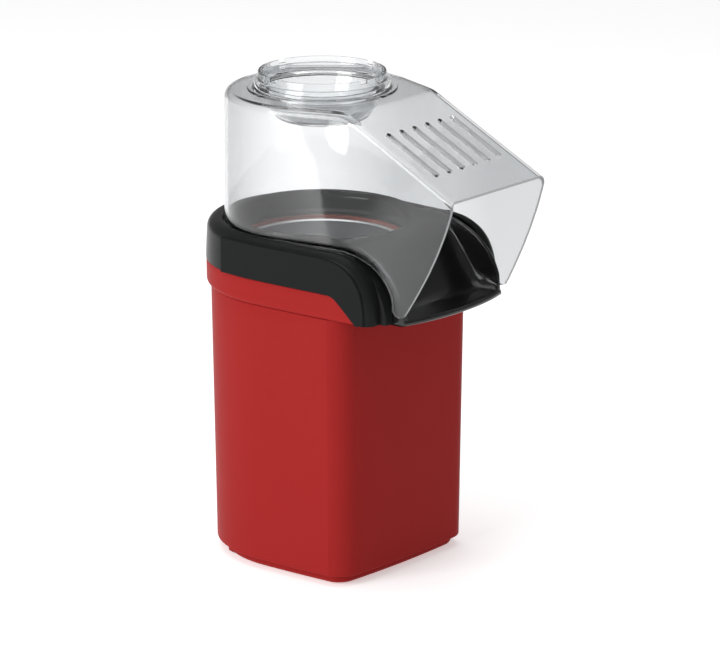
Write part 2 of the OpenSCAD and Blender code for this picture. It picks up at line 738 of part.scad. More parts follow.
module popping_chamber() on_axis() color([0.75, 0.76, 0.78]) difference() {
    union() {
        rotate_extrude($fn = 128) polygon([
            [0, chamber_foot + 4], [14, chamber_foot + 3.4], [26, chamber_foot + 0.6],
            [chamber_r - 3, chamber_foot],
            [chamber_r - 0.4, chamber_foot + 0.8], [chamber_r + sheet_t, chamber_foot + 3],
            [chamber_r + sheet_t, chamber_top - flange_t], [chamber_flange_r, chamber_top - flange_t],
            [chamber_flange_r, chamber_top], [chamber_r + 0.8, chamber_top], [chamber_r, chamber_top - 0.8],
            [chamber_r, chamber_foot + 4], [chamber_r - 1.6, chamber_foot + 1.9],
            [chamber_r - 3.6, chamber_foot + sheet_t], [26.4, chamber_foot + 0.7 + sheet_t],
            [14.3, chamber_foot + 3.5 + sheet_t], [0, chamber_foot + 4 + sheet_t]
        ]);
        at_angles(quarters, ear_pos_r) translate([0, 0, chamber_top - flange_t]) {
            cylinder(h = flange_t, r = ear_r);
            translate([-8, -ear_r, 0]) cube([8, 2 * ear_r, flange_t]);
        }
    }
    translate([0, 0, chamber_top - 12]) cylinder(h = 12 - 0.8, r = chamber_r);
    at_angles(quarters, ear_pos_r) translate([0, 0, chamber_top - 5])
        cylinder(h = 10, r = pilot_r + joint_gap);
    for (i = [0:louvre_count - 1]) rotate([0, 0, i * 360 / louvre_count])
        translate([chamber_r, 0, chamber_foot + 13]) rotate([28, 0, 0]) cube([8, 2, 14], center = true);
}

module chamber_seal() on_axis() color([0.55, 0.2, 0.15])
    ring(chamber_top + joint_gap / 2, seal_t - joint_gap, chamber_flange_r - 1.2, chamber_r + 2.2);

module chamber_screws() on_axis() color("silver") at_angles(quarters, ear_pos_r)
    screw(shield_top - shield_t - joint_gap, 9);

module heat_shield() on_axis() color([0.66, 0.67, 0.68]) difference() {
    union() {
        ring(shield_foot, shield_top - shield_foot, shield_r, shield_r - shield_t);
        ring(shield_top - shield_t, shield_t, chamber_flange_r, shield_r - shield_t);
        ring(shield_foot, shield_t, shield_flange_r, shield_r - shield_t);
        at_angles(quarters, ear_pos_r) translate([0, 0, shield_top - shield_t]) {
            cylinder(h = shield_t, r = ear_r);
            translate([-4.2, -ear_r, 0]) cube([4.2, 2 * ear_r, shield_t]);
        }
    }
    at_angles(quarters, ear_pos_r) translate([0, 0, shield_top - 5])
        cylinder(h = 10, r = pilot_r + joint_gap);
    at_angles(quarters, stack_screw_r) translate([0, 0, shield_foot - 5])
        cylinder(h = 10, r = pilot_r + joint_gap);
}

module mica_liner() on_axis() color([0.72, 0.62, 0.45])
    ring(board_foot, board_h + 4, shield_r - shield_t - 0.5, shield_r - shield_t - 1.1);

module heater_base() on_axis() color([0.7, 0.7, 0.7]) difference() {
    ring(blower_top, heater_base_t, shield_flange_r, 30);
    at_angles(quarters, stack_screw_r) translate([0, 0, blower_top - 5])
        cylinder(h = 10, r = pilot_r + joint_gap);
    for (a = [0, 90, 180, 270]) rotate([0, 0, a])
        translate([board_half - 6, -mica_t / 2 - joint_gap, blower_top - 1])
            cube([4.4, mica_t + 2 * joint_gap, 4]);
}

// One mica board on edge: slot_up says which half of its middle is open for the other board
module mica_board(slot_up) difference() {
    union() {
        translate([-board_half, -mica_t / 2, board_foot]) cube([2 * board_half, mica_t, board_h]);
        for (s = [-1, 1]) translate([s * (board_half - 3.8) - 1.9, -mica_t / 2, blower_top + 0.1])
            cube([3.8, mica_t, 3]);
    }
    translate([-mica_t / 2 - joint_gap, -5, slot_up ? board_foot + board_h / 2 - joint_gap : board_foot - 1])
        cube([mica_t + 2 * joint_gap, 10, board_h / 2 + 1 + joint_gap]);
    for (r = coil_rings, s = [-1, 1]) translate([s * r, 5, coil_z]) rotate([90, 0, 0])
        cylinder(h = 10, r = coil_r + 0.5, $fn = 32);
}

module mica_board_a() on_axis() color([0.78, 0.7, 0.55]) mica_board(true);

module mica_board_b() on_axis() color([0.78, 0.7, 0.55]) rotate([0, 0, 90]) mica_board(false);

module heating_coils() on_axis() color([0.45, 0.44, 0.43]) for (r = coil_rings)
    translate([0, 0, coil_z]) rotate_extrude($fn = 96) translate([r, 0]) circle(r = coil_r, $fn = 24);

module thermostat() on_axis() color([0.2, 0.2, 0.2])
translate([0, shield_r + 0.2, shield_top - 52]) rotate([-90, 0, 0]) {
    cylinder(h = 5.5, r = 8);
    translate([0, 0, 5.5 - eps]) cylinder(h = 1.5, r = 6.5);
    for (s = [-1, 1]) translate([s * 4 - 1.6, -0.4, 6.9]) cube([3.2, 0.8, 3.6]);
}

module thermal_fuse() on_axis() color([0.85, 0.85, 0.8])
rotate([0, 0, 45]) translate([board_half - 8, -5.5, shield_foot + 2.2])
    rotate([-90, 0, 0]) {
        cylinder(h = 11, r = 1.9, $fn = 32);
        translate([0, 0, -3]) cylinder(h = 17, r = 0.5, $fn = 16);
    }

// ---------- blower, fan and motor ----------

module blower_housing() on_axis() color([0.85, 0.84, 0.8]) difference() {
    union() {
        ring(blower_z, blower_h, fan_r + 8.5, fan_r + 6);
        translate([0, 0, blower_z]) cylinder(h = plate_t, r = fan_r + 8);
        ring(blower_top - 2.5, 2.5 - joint_gap, shield_flange_r, fan_r + 6);
    }
    translate([0, 0, blower_z - 1]) cylinder(h = plate_t + 2, r = 5);
    for (a = [0:40:320]) rotate([0, 0, a + 20]) translate([motor_r + 1.5, -3.5, blower_z - 1])
        cube([6, 7, plate_t + 2]);
    for (s = [-1, 1]) translate([s * motor_screw_x, 0, blower_z - 1])
        cylinder(h = plate_t + 2, r = pilot_r + joint_gap);
    at_angles(quarters, stack_screw_r) translate([0, 0, blower_top - 5]) cylinder(h = 10, r = pilot_r);
}

module blower_screws() on_axis() color("silver") at_angles(quarters, stack_screw_r)
    translate([0, 0, shield_foot + shield_t + joint_gap - 4]) screw(0, 4, true);

// Fan: a disc on top, curved blades hanging from it, and a hub
module fan() on_axis() color([0.9, 0.9, 0.88]) difference() {
    union() {
        translate([0, 0, fan_top - 1.6]) cylinder(h = 1.6, r = fan_r, $fn = 96);
        translate([0, 0, fan_foot]) cylinder(h = fan_top - fan_foot + 1.5, r = hub_r);
        for (i = [0:blade_count - 1]) rotate([0, 0, i * 360 / blade_count]) intersection() {
            translate([0, 0, fan_foot + 1]) cylinder(h = fan_top - fan_foot - 1.5, r = fan_r - 0.6, $fn = 96);
            translate([20, -17, fan_foot + 1]) ring(0, fan_top - fan_foot - 1.5, 22, 20.7);
            translate([12, -14, 0]) cube([40, 40, far]);
        }
    }
    translate([0, 0, fan_foot - 1]) cylinder(h = 40, r = shaft_r);
}

module fan_nut() on_axis() color([0.8, 0.68, 0.35])
translate([0, 0, fan_top + 1.5 + joint_gap]) difference() {
    cylinder(h = 3, r = 3.4, $fn = 6);
    translate([0, 0, -1]) cylinder(h = 5, r = shaft_r);
}

module motor_shaft() on_axis() color([0.75, 0.75, 0.77])
translate([0, 0, shaft_foot]) cylinder(h = shaft_top - shaft_foot, r = shaft_r);

module motor_can() on_axis() color([0.7, 0.71, 0.72]) difference() {
    translate([0, 0, can_foot]) cylinder(h = can_h, r = motor_r);
    translate([0, 0, can_foot - 1]) cylinder(h = can_h + 1 - can_t, r = motor_r - can_t);
    translate([0, 0, can_foot]) cylinder(h = can_h + 5, r = bush_r + running_gap);
    for (s = [-1, 1]) translate([s * motor_screw_x, 0, can_foot]) cylinder(h = can_h + 5, r = pilot_r);
}

module motor_end_cap() on_axis() color([0.15, 0.15, 0.16]) difference() {
    union() {
        translate([0, 0, can_foot - cap_t]) cylinder(h = cap_t, r = motor_r);
        ring(can_foot - eps, 1.6, motor_r - can_t - joint_gap, motor_r - can_t - 2);
        for (s = [-1, 1]) translate([s * 8.6 - 2.6, -3.4, can_foot - eps]) cube([5.2, 6.8, 5.4]);
        for (s = [-1, 1]) translate([0, s * 11, rectifier_z + board_t + joint_gap])
            cylinder(h = can_foot - cap_t - rectifier_z - board_t, r = 1.6);
    }
    translate([0, 0, can_foot - cap_t - 1]) cylinder(h = 20, r = bush_r + running_gap);
    for (s = [-1, 1]) translate([s * 8.6 - 5, -2 - joint_gap, can_foot + 1 - joint_gap])
        cube([10, 4 + 2 * joint_gap, 3.2 + 2 * joint_gap]);
}

module motor_magnets() on_axis() color([0.3, 0.3, 0.32]) difference() {
    ring(can_foot + 7, core_h + 4, motor_r - can_t - joint_gap, motor_r - can_t - magnet_t);
    for (a = [0, 180]) rotate([0, 0, a]) translate([0, -3.5, can_foot]) cube([30, 7, 60]);
}

module armature_core() on_axis() color([0.45, 0.45, 0.47]) difference() {
    translate([0, 0, core_foot]) cylinder(h = core_h, r = core_r);
    translate([0, 0, core_foot - 1]) cylinder(h = core_h + 2, r = shaft_r);
    for (a = [0:120:240]) rotate([0, 0, a]) translate([core_r - 1.6, -0.8, core_foot - 1])
        cube([4, 1.6, core_h + 2]);
}

module armature_windings() on_axis() color([0.72, 0.4, 0.2]) {
    ring(core_foot + core_h + joint_gap, 3, core_r - 1.5, 5);
    ring(core_foot - 1.4 - joint_gap, 1.4, core_r - 1.5, 5);
}

module commutator() on_axis() color([0.8, 0.5, 0.3]) difference() {
    translate([0, 0, can_foot + 1.4]) cylinder(h = 5, r = 4.4);
    translate([0, 0, can_foot]) cylinder(h = 10, r = shaft_r);
    for (a = [0:60:300]) rotate([0, 0, a]) translate([3.6, -0.2, can_foot]) cube([2, 0.4, 10]);
}

module motor_brushes() on_axis() color([0.2, 0.2, 0.2]) for (s = [-1, 1])
    translate([s * 7.6 - 2.9, -2, can_foot + 1]) cube([5.8, 4, 3.2]);

module motor_bushes() on_axis() color([0.72, 0.55, 0.3]) {
    ring(can_top - can_t - 2, can_t + 3, bush_r, shaft_r + running_gap);
    ring(can_foot - cap_t, cap_t, bush_r, shaft_r + running_gap);
}

module motor_screws() on_axis() color("silver") for (s = [-1, 1])
    translate([s * motor_screw_x, 0, blower_z + plate_t - 4.5]) short_screw();

module short_screw() {
    cylinder(h = 4.5, r = screw_r, $fn = 24);
    translate([0, 0, 4.5]) cylinder(h = 1.5, r = 2.4, $fn = 24);
}

module rectifier_board() on_axis() color([0.15, 0.35, 0.2]) difference() {
    translate([0, 0, rectifier_z]) cylinder(h = board_t, r = motor_r - 2);
    translate([0, 0, rectifier_z - 1]) cylinder(h = 5, r = 3);
}

module rectifier_diodes() on_axis() color([0.1, 0.1, 0.1]) for (a = [45:90:315]) rotate([0, 0, a])
    translate([9.5, 0, rectifier_z - diode_r - 2 * joint_gap]) rotate([90, 0, 0]) {
        translate([0, 0, -2.6]) cylinder(h = 5.2, r = diode_r, $fn = 24);
        translate([0, 0, -4.6]) cylinder(h = 9.2, r = 0.45, $fn = 12);
    }

module terminal_block() on_axis() color([0.9, 0.9, 0.87]) difference() {
    translate([-block_x - 5.5, -2, foot_proud + base_t + joint_gap]) cube([11, 22, 9]);
    for (i = [0:2]) translate([-block_x, 2 + i * 7, foot_proud + base_t]) {
        translate([0, 0, 4]) cylinder(h = 20, r = 2, $fn = 24);
        translate([0, 0, 4.5]) rotate([0, 90, 0]) cylinder(h = 30, r = 1.6, center = true, $fn = 24);
    }
}

// ---------- switch and cord gland ----------

module switch_body() on_axis() color([0.08, 0.08, 0.08]) translate([0, pad_face, switch_z]) difference() {
    union() {
        translate([-switch_w / 2 - bezel_lip, joint_gap, -switch_h / 2 - bezel_lip])
            cube([switch_w + 2 * bezel_lip, bezel_t, switch_h + 2 * bezel_lip]);
        translate([-switch_w / 2 + joint_gap, -switch_depth, -switch_h / 2 + joint_gap])
            cube([switch_w - 2 * joint_gap, switch_depth + bezel_t, switch_h - 2 * joint_gap]);
    }
    translate([-rocker_half_w - 0.5, -8.5, -rocker_half_h - rocker_play])
        cube([2 * rocker_half_w + 1, 20, 2 * (rocker_half_h + rocker_play)]);
    translate([0, pivot_y - pad_face, 0]) rotate([0, 90, 0])
        cylinder(h = 2 * rocker_half_w + 3.4, r = pivot_r + running_gap, center = true);
}

// Rocker: a paddle with a hollow face on a cross pivot, stored in its off tilt
module switch_rocker() on_axis() color([0.7, 0.08, 0.08]) translate([0, pivot_y, switch_z])
    rotate([-rocker_swing / 2, 0, 0]) {
        side_extrude(2 * rocker_half_w, [
            [-3.6, -2.6], [-3.6, 2.6], [0.6, rocker_half_h], [3.8, rocker_half_h - 0.2], [2.9, 2.6], [2.5, 0],
            [2.9, -2.6], [3.8, -rocker_half_h + 0.2], [0.6, -rocker_half_h]
        ]);
        rotate([0, 90, 0]) cylinder(h = 2 * rocker_half_w + 3, r = pivot_r, center = true);
    }

module switch_terminals() on_axis() color([0.8, 0.68, 0.35]) for (s = [-1, 1])
    translate([-2.4, pad_face - switch_depth - 6.5 - joint_gap, switch_z + s * 3.4 - 0.4])
        cube([4.8, 6.5, 0.8]);

module cord_gland() on_axis() color([0.08, 0.08, 0.08])
translate([0, pad_face, gland_z]) rotate([-90, 0, 0]) difference() {
    union() {
        translate([0, 0, joint_gap]) cylinder(h = 2, r = 8.2);
        translate([0, 0, -8.8]) cylinder(h = 9, r = gland_neck_r);
        translate([0, 0, -8.8]) cylinder(h = 4.1, r = gland_neck_r + 1.6, $fn = 6);
    }
    translate([0, 0, -12]) cylinder(h = 20, r = cord_hole_r);
}

lower_housing();
base_plate();
rubber_feet();
base_screws();
collar();
collar_screws();
chute_tray();
tray_screws();
clear_cover();
measuring_cup();
popping_chamber();
chamber_seal();
chamber_screws();
heat_shield();
mica_liner();
heater_base();
mica_board_a();
mica_board_b();
heating_coils();
thermostat();
thermal_fuse();
blower_housing();
blower_screws();
fan();
fan_nut();
motor_shaft();
motor_can();
motor_end_cap();
motor_magnets();
armature_core();
armature_windings();
commutator();
motor_brushes();
motor_bushes();
motor_screws();
rectifier_board();
rectifier_diodes();
terminal_block();
switch_body();
switch_rocker();
switch_terminals();
cord_gland();
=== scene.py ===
import math

import bmesh
import bpy
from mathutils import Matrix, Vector


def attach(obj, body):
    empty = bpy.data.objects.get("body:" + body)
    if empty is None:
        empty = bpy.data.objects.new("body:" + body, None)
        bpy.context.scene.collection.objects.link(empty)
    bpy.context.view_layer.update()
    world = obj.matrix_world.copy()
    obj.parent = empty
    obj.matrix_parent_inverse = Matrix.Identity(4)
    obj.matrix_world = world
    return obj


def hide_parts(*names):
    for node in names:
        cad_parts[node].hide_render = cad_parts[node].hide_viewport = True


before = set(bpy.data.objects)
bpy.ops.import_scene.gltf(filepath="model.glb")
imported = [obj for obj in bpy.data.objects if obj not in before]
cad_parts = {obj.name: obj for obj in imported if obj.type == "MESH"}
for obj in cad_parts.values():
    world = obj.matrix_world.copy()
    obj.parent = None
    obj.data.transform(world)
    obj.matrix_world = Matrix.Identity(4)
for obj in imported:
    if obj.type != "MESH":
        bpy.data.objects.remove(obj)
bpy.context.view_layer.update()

# ---------------------------------------------------------------- Camera, light and table
# A long lens from the left of the front, a little above the machine, with all of it sharp.
# Soft light falls from the left and from above on a plain pale table.

scene = bpy.context.scene
lens = bpy.data.cameras.new("camera")
lens.sensor_width = 36
lens.lens = 254.9
lens.clip_end = 50
camera = bpy.data.objects.new("camera", lens)
scene.collection.objects.link(camera)
camera.location = (-2.21327, -1.82814, 0.95354)
turn, tilt = math.radians(-50.424), math.radians(15.88)
aim = Vector((-math.sin(turn) * math.cos(tilt), math.cos(turn) * math.cos(tilt), -math.sin(tilt)))
camera.rotation_euler = aim.to_track_quat("-Z", "Y").to_euler()
scene.camera = camera
scene.view_settings.view_transform = "Standard"

world = bpy.data.worlds.new("studio")
scene.world = world
world.use_nodes = True
sky = world.node_tree.nodes["Background"]
sky.inputs["Color"].default_value = (1, 1, 1, 1)
sky.inputs["Strength"].default_value = 0.32


def soft_light(name, place, at, size, power):
    """A rectangular area light that faces a point."""
    data = bpy.data.lights.new(name, "AREA")
    data.shape = "RECTANGLE"
    data.size, data.size_y = size
    data.energy = power
    lamp = bpy.data.objects.new(name, data)
    scene.collection.objects.link(lamp)
    lamp.location = place
    lamp.rotation_euler = (Vector(at) - Vector(place)).to_track_quat("-Z", "Y").to_euler()


soft_light("left_light", (-1.6, 0.3, 0.75), (0, 0, 0.12), (0.9, 1.3), 20)
soft_light("top_light", (0.1, 0.3, 1.8), (0, 0.1, 0.1), (1.6, 1.6), 14)

table_mesh = bpy.data.meshes.new("table")
reach = 7
table_corners = [(-reach, -reach, 0), (reach, -reach, 0), (reach, reach, 0), (-reach, reach, 0)]
table_mesh.from_pydata(table_corners, [], [(0, 1, 2, 3)])
table = bpy.data.objects.new("table", table_mesh)
scene.collection.objects.link(table)
paper = bpy.data.materials.new("table_paper")
paper.use_nodes = True
paper_shader = paper.node_tree.nodes["Principled BSDF"]
paper_shader.inputs["Base Color"].default_value = (0.94, 0.94, 0.94, 1)
paper_shader.inputs["Roughness"].default_value = 0.9
paper_shader.inputs["Specular IOR Level"].default_value = 0
paper_shader.inputs["Emission Color"].default_value = (1, 1, 1, 1)
paper_shader.inputs["Emission Strength"].default_value = 0.45
table_mesh.materials.append(paper)

# ---------------------------------------------------------------- Lower housing
# One moulding in red plastic with a fine sheen: flared walls, a crease down each front corner,
# and a wider rim band that the collar sits on. Four columns inside take the base screws.

axis_to_middle = 29.7
half_width, front_depth, back_depth = 60.1, 65.5, 65
corner_radius, side_lean, front_lean = 16, 18, 5
side_bow, front_bow = 1.4, 1.5
foot_z, shell_top, flare, flare_height = 6, 161.9, 2.6, 156
shell_wall, foot_round, top_round = 2.5, 0.9, 0.7
rim_half, rim_depth, rim_taper, taper_reach, rim_end, rim_top = 66.3, 71, 4.3, 84, 76.4, 177.5
gland_z, gland_low, gland_high = 18, 13, 23
switch_half, switch_low, switch_high = 9.5, 31.5, 44.5
pad_inner, pad_outer = 60, 67


def spot(x, y, z):
    """Millimetres from the upright axis to metres in the shared frame."""
    return Vector((x / 1000, (y + axis_to_middle) / 1000, z / 1000))


def build(name, rows, wrap_rows=False, wrap_cols=False, sharp=32, caps=False):
    """A grid of points, row by row, turned into one smooth-shaded mesh."""
    mesh = bpy.data.meshes.new(name)
    bm = bmesh.new()
    grid = [[bm.verts.new(spot(*p)) for p in row] for row in rows]
    n, m = len(rows), len(rows[0])
    for i in range(n if wrap_rows else n - 1):
        for j in range(m if wrap_cols else m - 1):
            a, b = grid[i][j], grid[i][(j + 1) % m]
            c, d = grid[(i + 1) % n][(j + 1) % m], grid[(i + 1) % n][j]
            bm.faces.new((a, b, c, d))
    if caps and wrap_rows:
        bm.faces.new([grid[i][0] for i in range(n)])
        bm.faces.new([grid[i][m - 1] for i in range(n)])
    if caps and wrap_cols:
        bm.faces.new(grid[0])
        bm.faces.new(grid[n - 1])
    bmesh.ops.remove_doubles(bm, verts=bm.verts, dist=2e-6)
    bmesh.ops.dissolve_degenerate(bm, edges=bm.edges, dist=1e-6)
    bmesh.ops.recalc_face_normals(bm, faces=bm.faces)
    bm.to_mesh(mesh)
    bm.free()
    mesh.polygons.foreach_set("use_smooth", [True] * len(mesh.polygons))
    mesh.set_sharp_from_angle(angle=math.radians(sharp))
    piece = bpy.data.objects.new(name, mesh)
    scene.collection.objects.link(piece)
    return piece


def merge(name, pieces):
    """Several meshes of one moulding joined into one object."""
    bm = bmesh.new()
    for piece in pieces:
        bm.from_mesh(piece.data)
        bpy.data.objects.remove(piece)
    mesh = bpy.data.meshes.new(name)
    bm.to_mesh(mesh)
    bm.free()
    joined = bpy.data.objects.new(name, mesh)
    scene.collection.objects.link(joined)
    return joined


def finish(name, colour, rough, metal=0, shine=0.5, grain=0.0, grain_size=0.6, wear=0.06,
           mottle=0.0, mottle_size=8, stretch=(1, 1, 1)):
    """A moulded or metal finish: fine grain, uneven gloss and a faint mottle, all in millimetres."""
    made = bpy.data.materials.new(name)
    made.use_nodes = True
    tree = made.node_tree
    shader = tree.nodes["Principled BSDF"]
    shader.inputs["Metallic"].default_value = metal
    shader.inputs["Specular IOR Level"].default_value = shine
    coords = tree.nodes.new("ShaderNodeTexCoord")
    scaled = tree.nodes.new("ShaderNodeMapping")
    scaled.inputs["Scale"].default_value = stretch
    tree.links.new(coords.outputs["Object"], scaled.inputs["Vector"])

    def noise(size, detail=3):
        made_noise = tree.nodes.new("ShaderNodeTexNoise")
        made_noise.inputs["Scale"].default_value = 1000 / size
        made_noise.inputs["Detail"].default_value = detail
        tree.links.new(scaled.outputs["Vector"], made_noise.inputs["Vector"])
        return made_noise.outputs["Fac"]

    if wear:
        spread = tree.nodes.new("ShaderNodeMapRange")
        spread.inputs["To Min"].default_value = max(rough - wear, 0.02)
        spread.inputs["To Max"].default_value = rough + wear
        tree.links.new(noise(14, 4), spread.inputs["Value"])
        tree.links.new(spread.outputs["Result"], shader.inputs["Roughness"])
    else:
        shader.inputs["Roughness"].default_value = rough
    if mottle:
        blend = tree.nodes.new("ShaderNodeMix")
        blend.data_type = "RGBA"
        blend.inputs["A"].default_value = [c * (1 - mottle) for c in colour] + [1]
        blend.inputs["B"].default_value = [min(c * (1 + mottle), 1) for c in colour] + [1]
        tree.links.new(noise(mottle_size, 5), blend.inputs["Factor"])
        tree.links.new(blend.outputs["Result"], shader.inputs["Base Color"])
    else:
        shader.inputs["Base Color"].default_value = (*colour, 1)
    if grain:
        bump = tree.nodes.new("ShaderNodeBump")
        bump.inputs["Strength"].default_value = grain
        bump.inputs["Distance"].default_value = 0.0002
        tree.links.new(noise(grain_size, 2), bump.inputs["Height"])
        tree.links.new(bump.outputs["Normal"], shader.inputs["Normal"])
    return made


def install(piece, body, nodes, material):
    """Puts a finished piece in place of CAD nodes."""
    piece.data.materials.clear()
    piece.data.materials.append(material)
    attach(piece, body)
    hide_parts(*nodes)


def dress(material, *names):
    """Gives CAD nodes a finish."""
    for name in names:
        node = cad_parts[name]
        for slot in node.material_slots:
            slot.material = material
        if not node.material_slots:
            node.data.materials.append(material)


def housing_outline(inset, z):
    """The housing's D-shaped plan at height z."""
    spread = flare * (z - foot_z) / flare_height
    half, back = half_width - inset + spread, back_depth - inset + spread
    front, r = front_depth - inset + spread / 3, corner_radius - inset
    cx = half - side_bow - r * math.cos(math.radians(side_lean))
    cy = -(front - front_bow) + r * math.cos(math.radians(front_lean))
    crease = cy - r * math.sin(math.radians(side_lean))
    end = cx + r * math.sin(math.radians(front_lean))
    corner_turn = (90 - side_lean - front_lean) / 10
    points = []
    for i in range(97):
        t = math.pi * i / 96
        points.append((half * math.cos(t), back * math.sin(t), z))
    for i in range(1, 13):
        s = i / 12
        points.append((-half + side_bow * s * s, crease * s, z))
    for i in range(1, 11):
        a = math.radians(180 + side_lean + corner_turn * i)
        points.append((-cx + r * math.cos(a), cy + r * math.sin(a), z))
    for i in range(1, 13):
        s = i / 6 - 1
        points.append((end * s, -front + front_bow * s * s, z))
    for i in range(1, 11):
        a = math.radians(front_lean - 90 + corner_turn * i)
        points.append((cx + r * math.cos(a), cy + r * math.sin(a), z))
    for i in range(1, 12):
        s = 1 - i / 12
        points.append((half - side_bow * s * s, crease * s, z))
    return points


cut_levels = [gland_low, gland_high, switch_low, switch_high, 60]
shell_rows = [(shell_wall, z) for z in [161.4] + cut_levels[::-1] + [6.8]]
shell_rows += [(2.2, 6.25), (1.7, 6.02), (0.9, 6.0)]
for k in range(1, 9):
    a = math.radians(11.25 * k)
    shell_rows.append((foot_round * (1 - math.sin(a)), foot_z + foot_round * (1 - math.cos(a))))
shell_rows += [(0, z) for z in cut_levels + [90, 120, 150, shell_top - top_round]]
for k in range(1, 7):
    a = math.radians(15 * k)
    shell_rows.append((top_round * (1 - math.cos(a)), shell_top - top_round * (1 - math.sin(a))))
shell_rows += [(1.9, shell_top)]
shell_loops = [housing_outline(inset, z) for inset, z in shell_rows]
shell = build("shell", shell_loops, wrap_rows=True, wrap_cols=True, sharp=13.5)


def cut_height(y, top):
    """Height of the slanted seam between rim band and collar at the front."""
    d = -y - 60
    return max(top - 0.485 * (d + math.sqrt(d * d + 6)), 162.05)


def rim_point(station, inset):
    """A point of the rim's plan: station is ('side', sign, y) or ('back', angle)."""
    half = rim_half - inset
    if station[0] == "side":
        return station[1] * (half - rim_taper * (station[2] / taper_reach) ** 2), station[2]
    return half * math.cos(station[1]), (rim_depth - inset) * math.sin(station[1])


band_profile = []
for k in range(11):
    a = math.radians(9 * k)
    band_profile.append((3.9 - 3.0 * math.sin(a), 165.6 - 3.5 * math.cos(a)))
band_profile += [(0.9, 167.5), (0.85, 171), (0.8, 174), (0.8, 176.8), (0.9, 177.2), (1.2, 177.45)]


def band_inset(z):
    """How far the band's face stands in from the rim at height z."""
    for (i0, z0), (i1, z1) in zip(band_profile, band_profile[1:]):
        if z0 <= z <= z1:
            return i0 + (i1 - i0) * (z - z0) / max(z1 - z0, 1e-6)
    return 1.2


stations = [("side", -1, -rim_end + rim_end * i / 40) for i in range(40)]
stations += [("back", math.pi * (1 - i / 96)) for i in range(97)]
stations += [("side", 1, -rim_end * i / 40) for i in range(1, 41)]
band_rows = []
for inset, z in [(5.3, 162.1)] + band_profile + [(5.0, rim_top), (5.3, 177.1), (5.3, 170)]:
    row = []
    for st in stations:
        top = cut_height(st[2], rim_top) if st[0] == "side" else rim_top
        use_z = min(z, top)
        use_inset = max(inset, band_inset(use_z)) if z > top else inset
        row.append((*rim_point(st, use_inset), use_z))
    band_rows.append(row)
band = build("band", band_rows, wrap_rows=True, caps=True, sharp=35)


def frame_block(name, outer, inner, y0, y1, edge=0.5):
    """A rectangular pad on the back with a rectangular hole; outer and inner are (half width, low, high)."""
    def loop(size, y, grow=0.0):
        w, lo, hi = size
        w, lo, hi = w - grow, lo + grow, hi - grow
        return [(-w, y, lo), (w, y, lo), (w, y, hi), (-w, y, hi)]
    rows = [loop(outer, y0), loop(outer, y1 - edge), loop(outer, y1, edge), loop(inner, y1), loop(inner, y0)]
    return build(name, rows, wrap_rows=True, wrap_cols=True, sharp=25)


pad_size = (switch_half + 4, switch_low - 3, switch_high + 3)
pad = frame_block("pad", pad_size, (switch_half, switch_low, switch_high), pad_inner, pad_outer)


def ring_solid(name, profile, steps=96, span=(0, 360), sharp=32, centre=(0, 0)):
    """A profile of (radius, z) turned about the upright axis."""
    full = span[1] - span[0] >= 360
    count = steps if full else steps + 1
    rows = []
    for r, z in profile:
        row = []
        for i in range(count):
            a = math.radians(span[0] + (span[1] - span[0]) * i / steps)
            row.append((centre[0] + r * math.cos(a), centre[1] + r * math.sin(a), z))
        rows.append(row)
    return build(name, rows, wrap_rows=True, wrap_cols=full, caps=not full, sharp=sharp)


def lying_ring(name, profile, z0, steps=48, sharp=32):
    """A profile of (radius, y) turned about a line along Y at height z0."""
    turns = [2 * math.pi * i / steps for i in range(steps)]
    rows = [[(r * math.cos(a), y, z0 + r * math.sin(a)) for a in turns] for r, y in profile]
    return build(name, rows, wrap_rows=True, wrap_cols=True, sharp=sharp)


gland_profile = [(9.5, pad_inner), (9.5, pad_outer - 0.5), (9.1, pad_outer - 0.1), (8.6, pad_outer)]
gland_profile += [(5.6, pad_outer), (5.6, pad_inner)]
gland_pad = lying_ring("gland_pad", gland_profile, gland_z)


def cut_faces(piece, test):
    """Opens a shell where something passes through it."""
    bm = bmesh.new()
    bm.from_mesh(piece.data)
    gone = [f for f in bm.faces if test(f.calc_center_median())]
    bmesh.ops.delete(bm, geom=gone, context="FACES")
    bm.to_mesh(piece.data)
    bm.free()


def column(name, x, y, r, z0, z1):
    """An upright boss with a hole for a screw."""
    return ring_solid(name, [(r, z0), (r, z1 - 0.5), (r - 0.5, z1), (1.5, z1), (1.5, z0)], 32, centre=(x, y))


def passes_through(p):
    """True for the part of the back wall behind the switch or the gland."""
    x, z = abs(p.x) * 1000, p.z * 1000
    at_switch = x < switch_half + 0.7 and switch_low < z < switch_high
    at_gland = x < 6.5 and gland_low < z < gland_high
    return p.y > 0 and (at_switch or at_gland)


cut_faces(shell, passes_through)
columns = [column("column", x, y, 4, 10, 40) for x, y in [(-46, -45), (46, -45), (-28, 47), (28, 47)]]
housing = merge("housing_moulding", [shell, band, pad, gland_pad] + columns)
red = finish("red_plastic", (0.30, 0.019, 0.018), 0.42, shine=0.02, grain=0.05, grain_size=0.5, wear=0.04,
             mottle=0.03, mottle_size=30)
install(housing, "housing", ["lower_housing"], red)
dress(red, "base_plate")

# ---------------------------------------------------------------- Collar
# Black plastic ring over the housing's rim, with a rounded shoulder, a stepped seat for the cover
# and two cheeks that sweep down at the front. A matt pad covers each flank. Four screws from below.

shoulder, collar_top, collar_foot, collar_ledge = 6.5, 202, 177.7, 198.2
collar_half, collar_back = 65.8, 70.5
seat_z, seat_outer, seat_inner = 200.2, 58.3, 55.15
cheek_start, cheek_foot, chute_half = -48, 162.3, 45.2


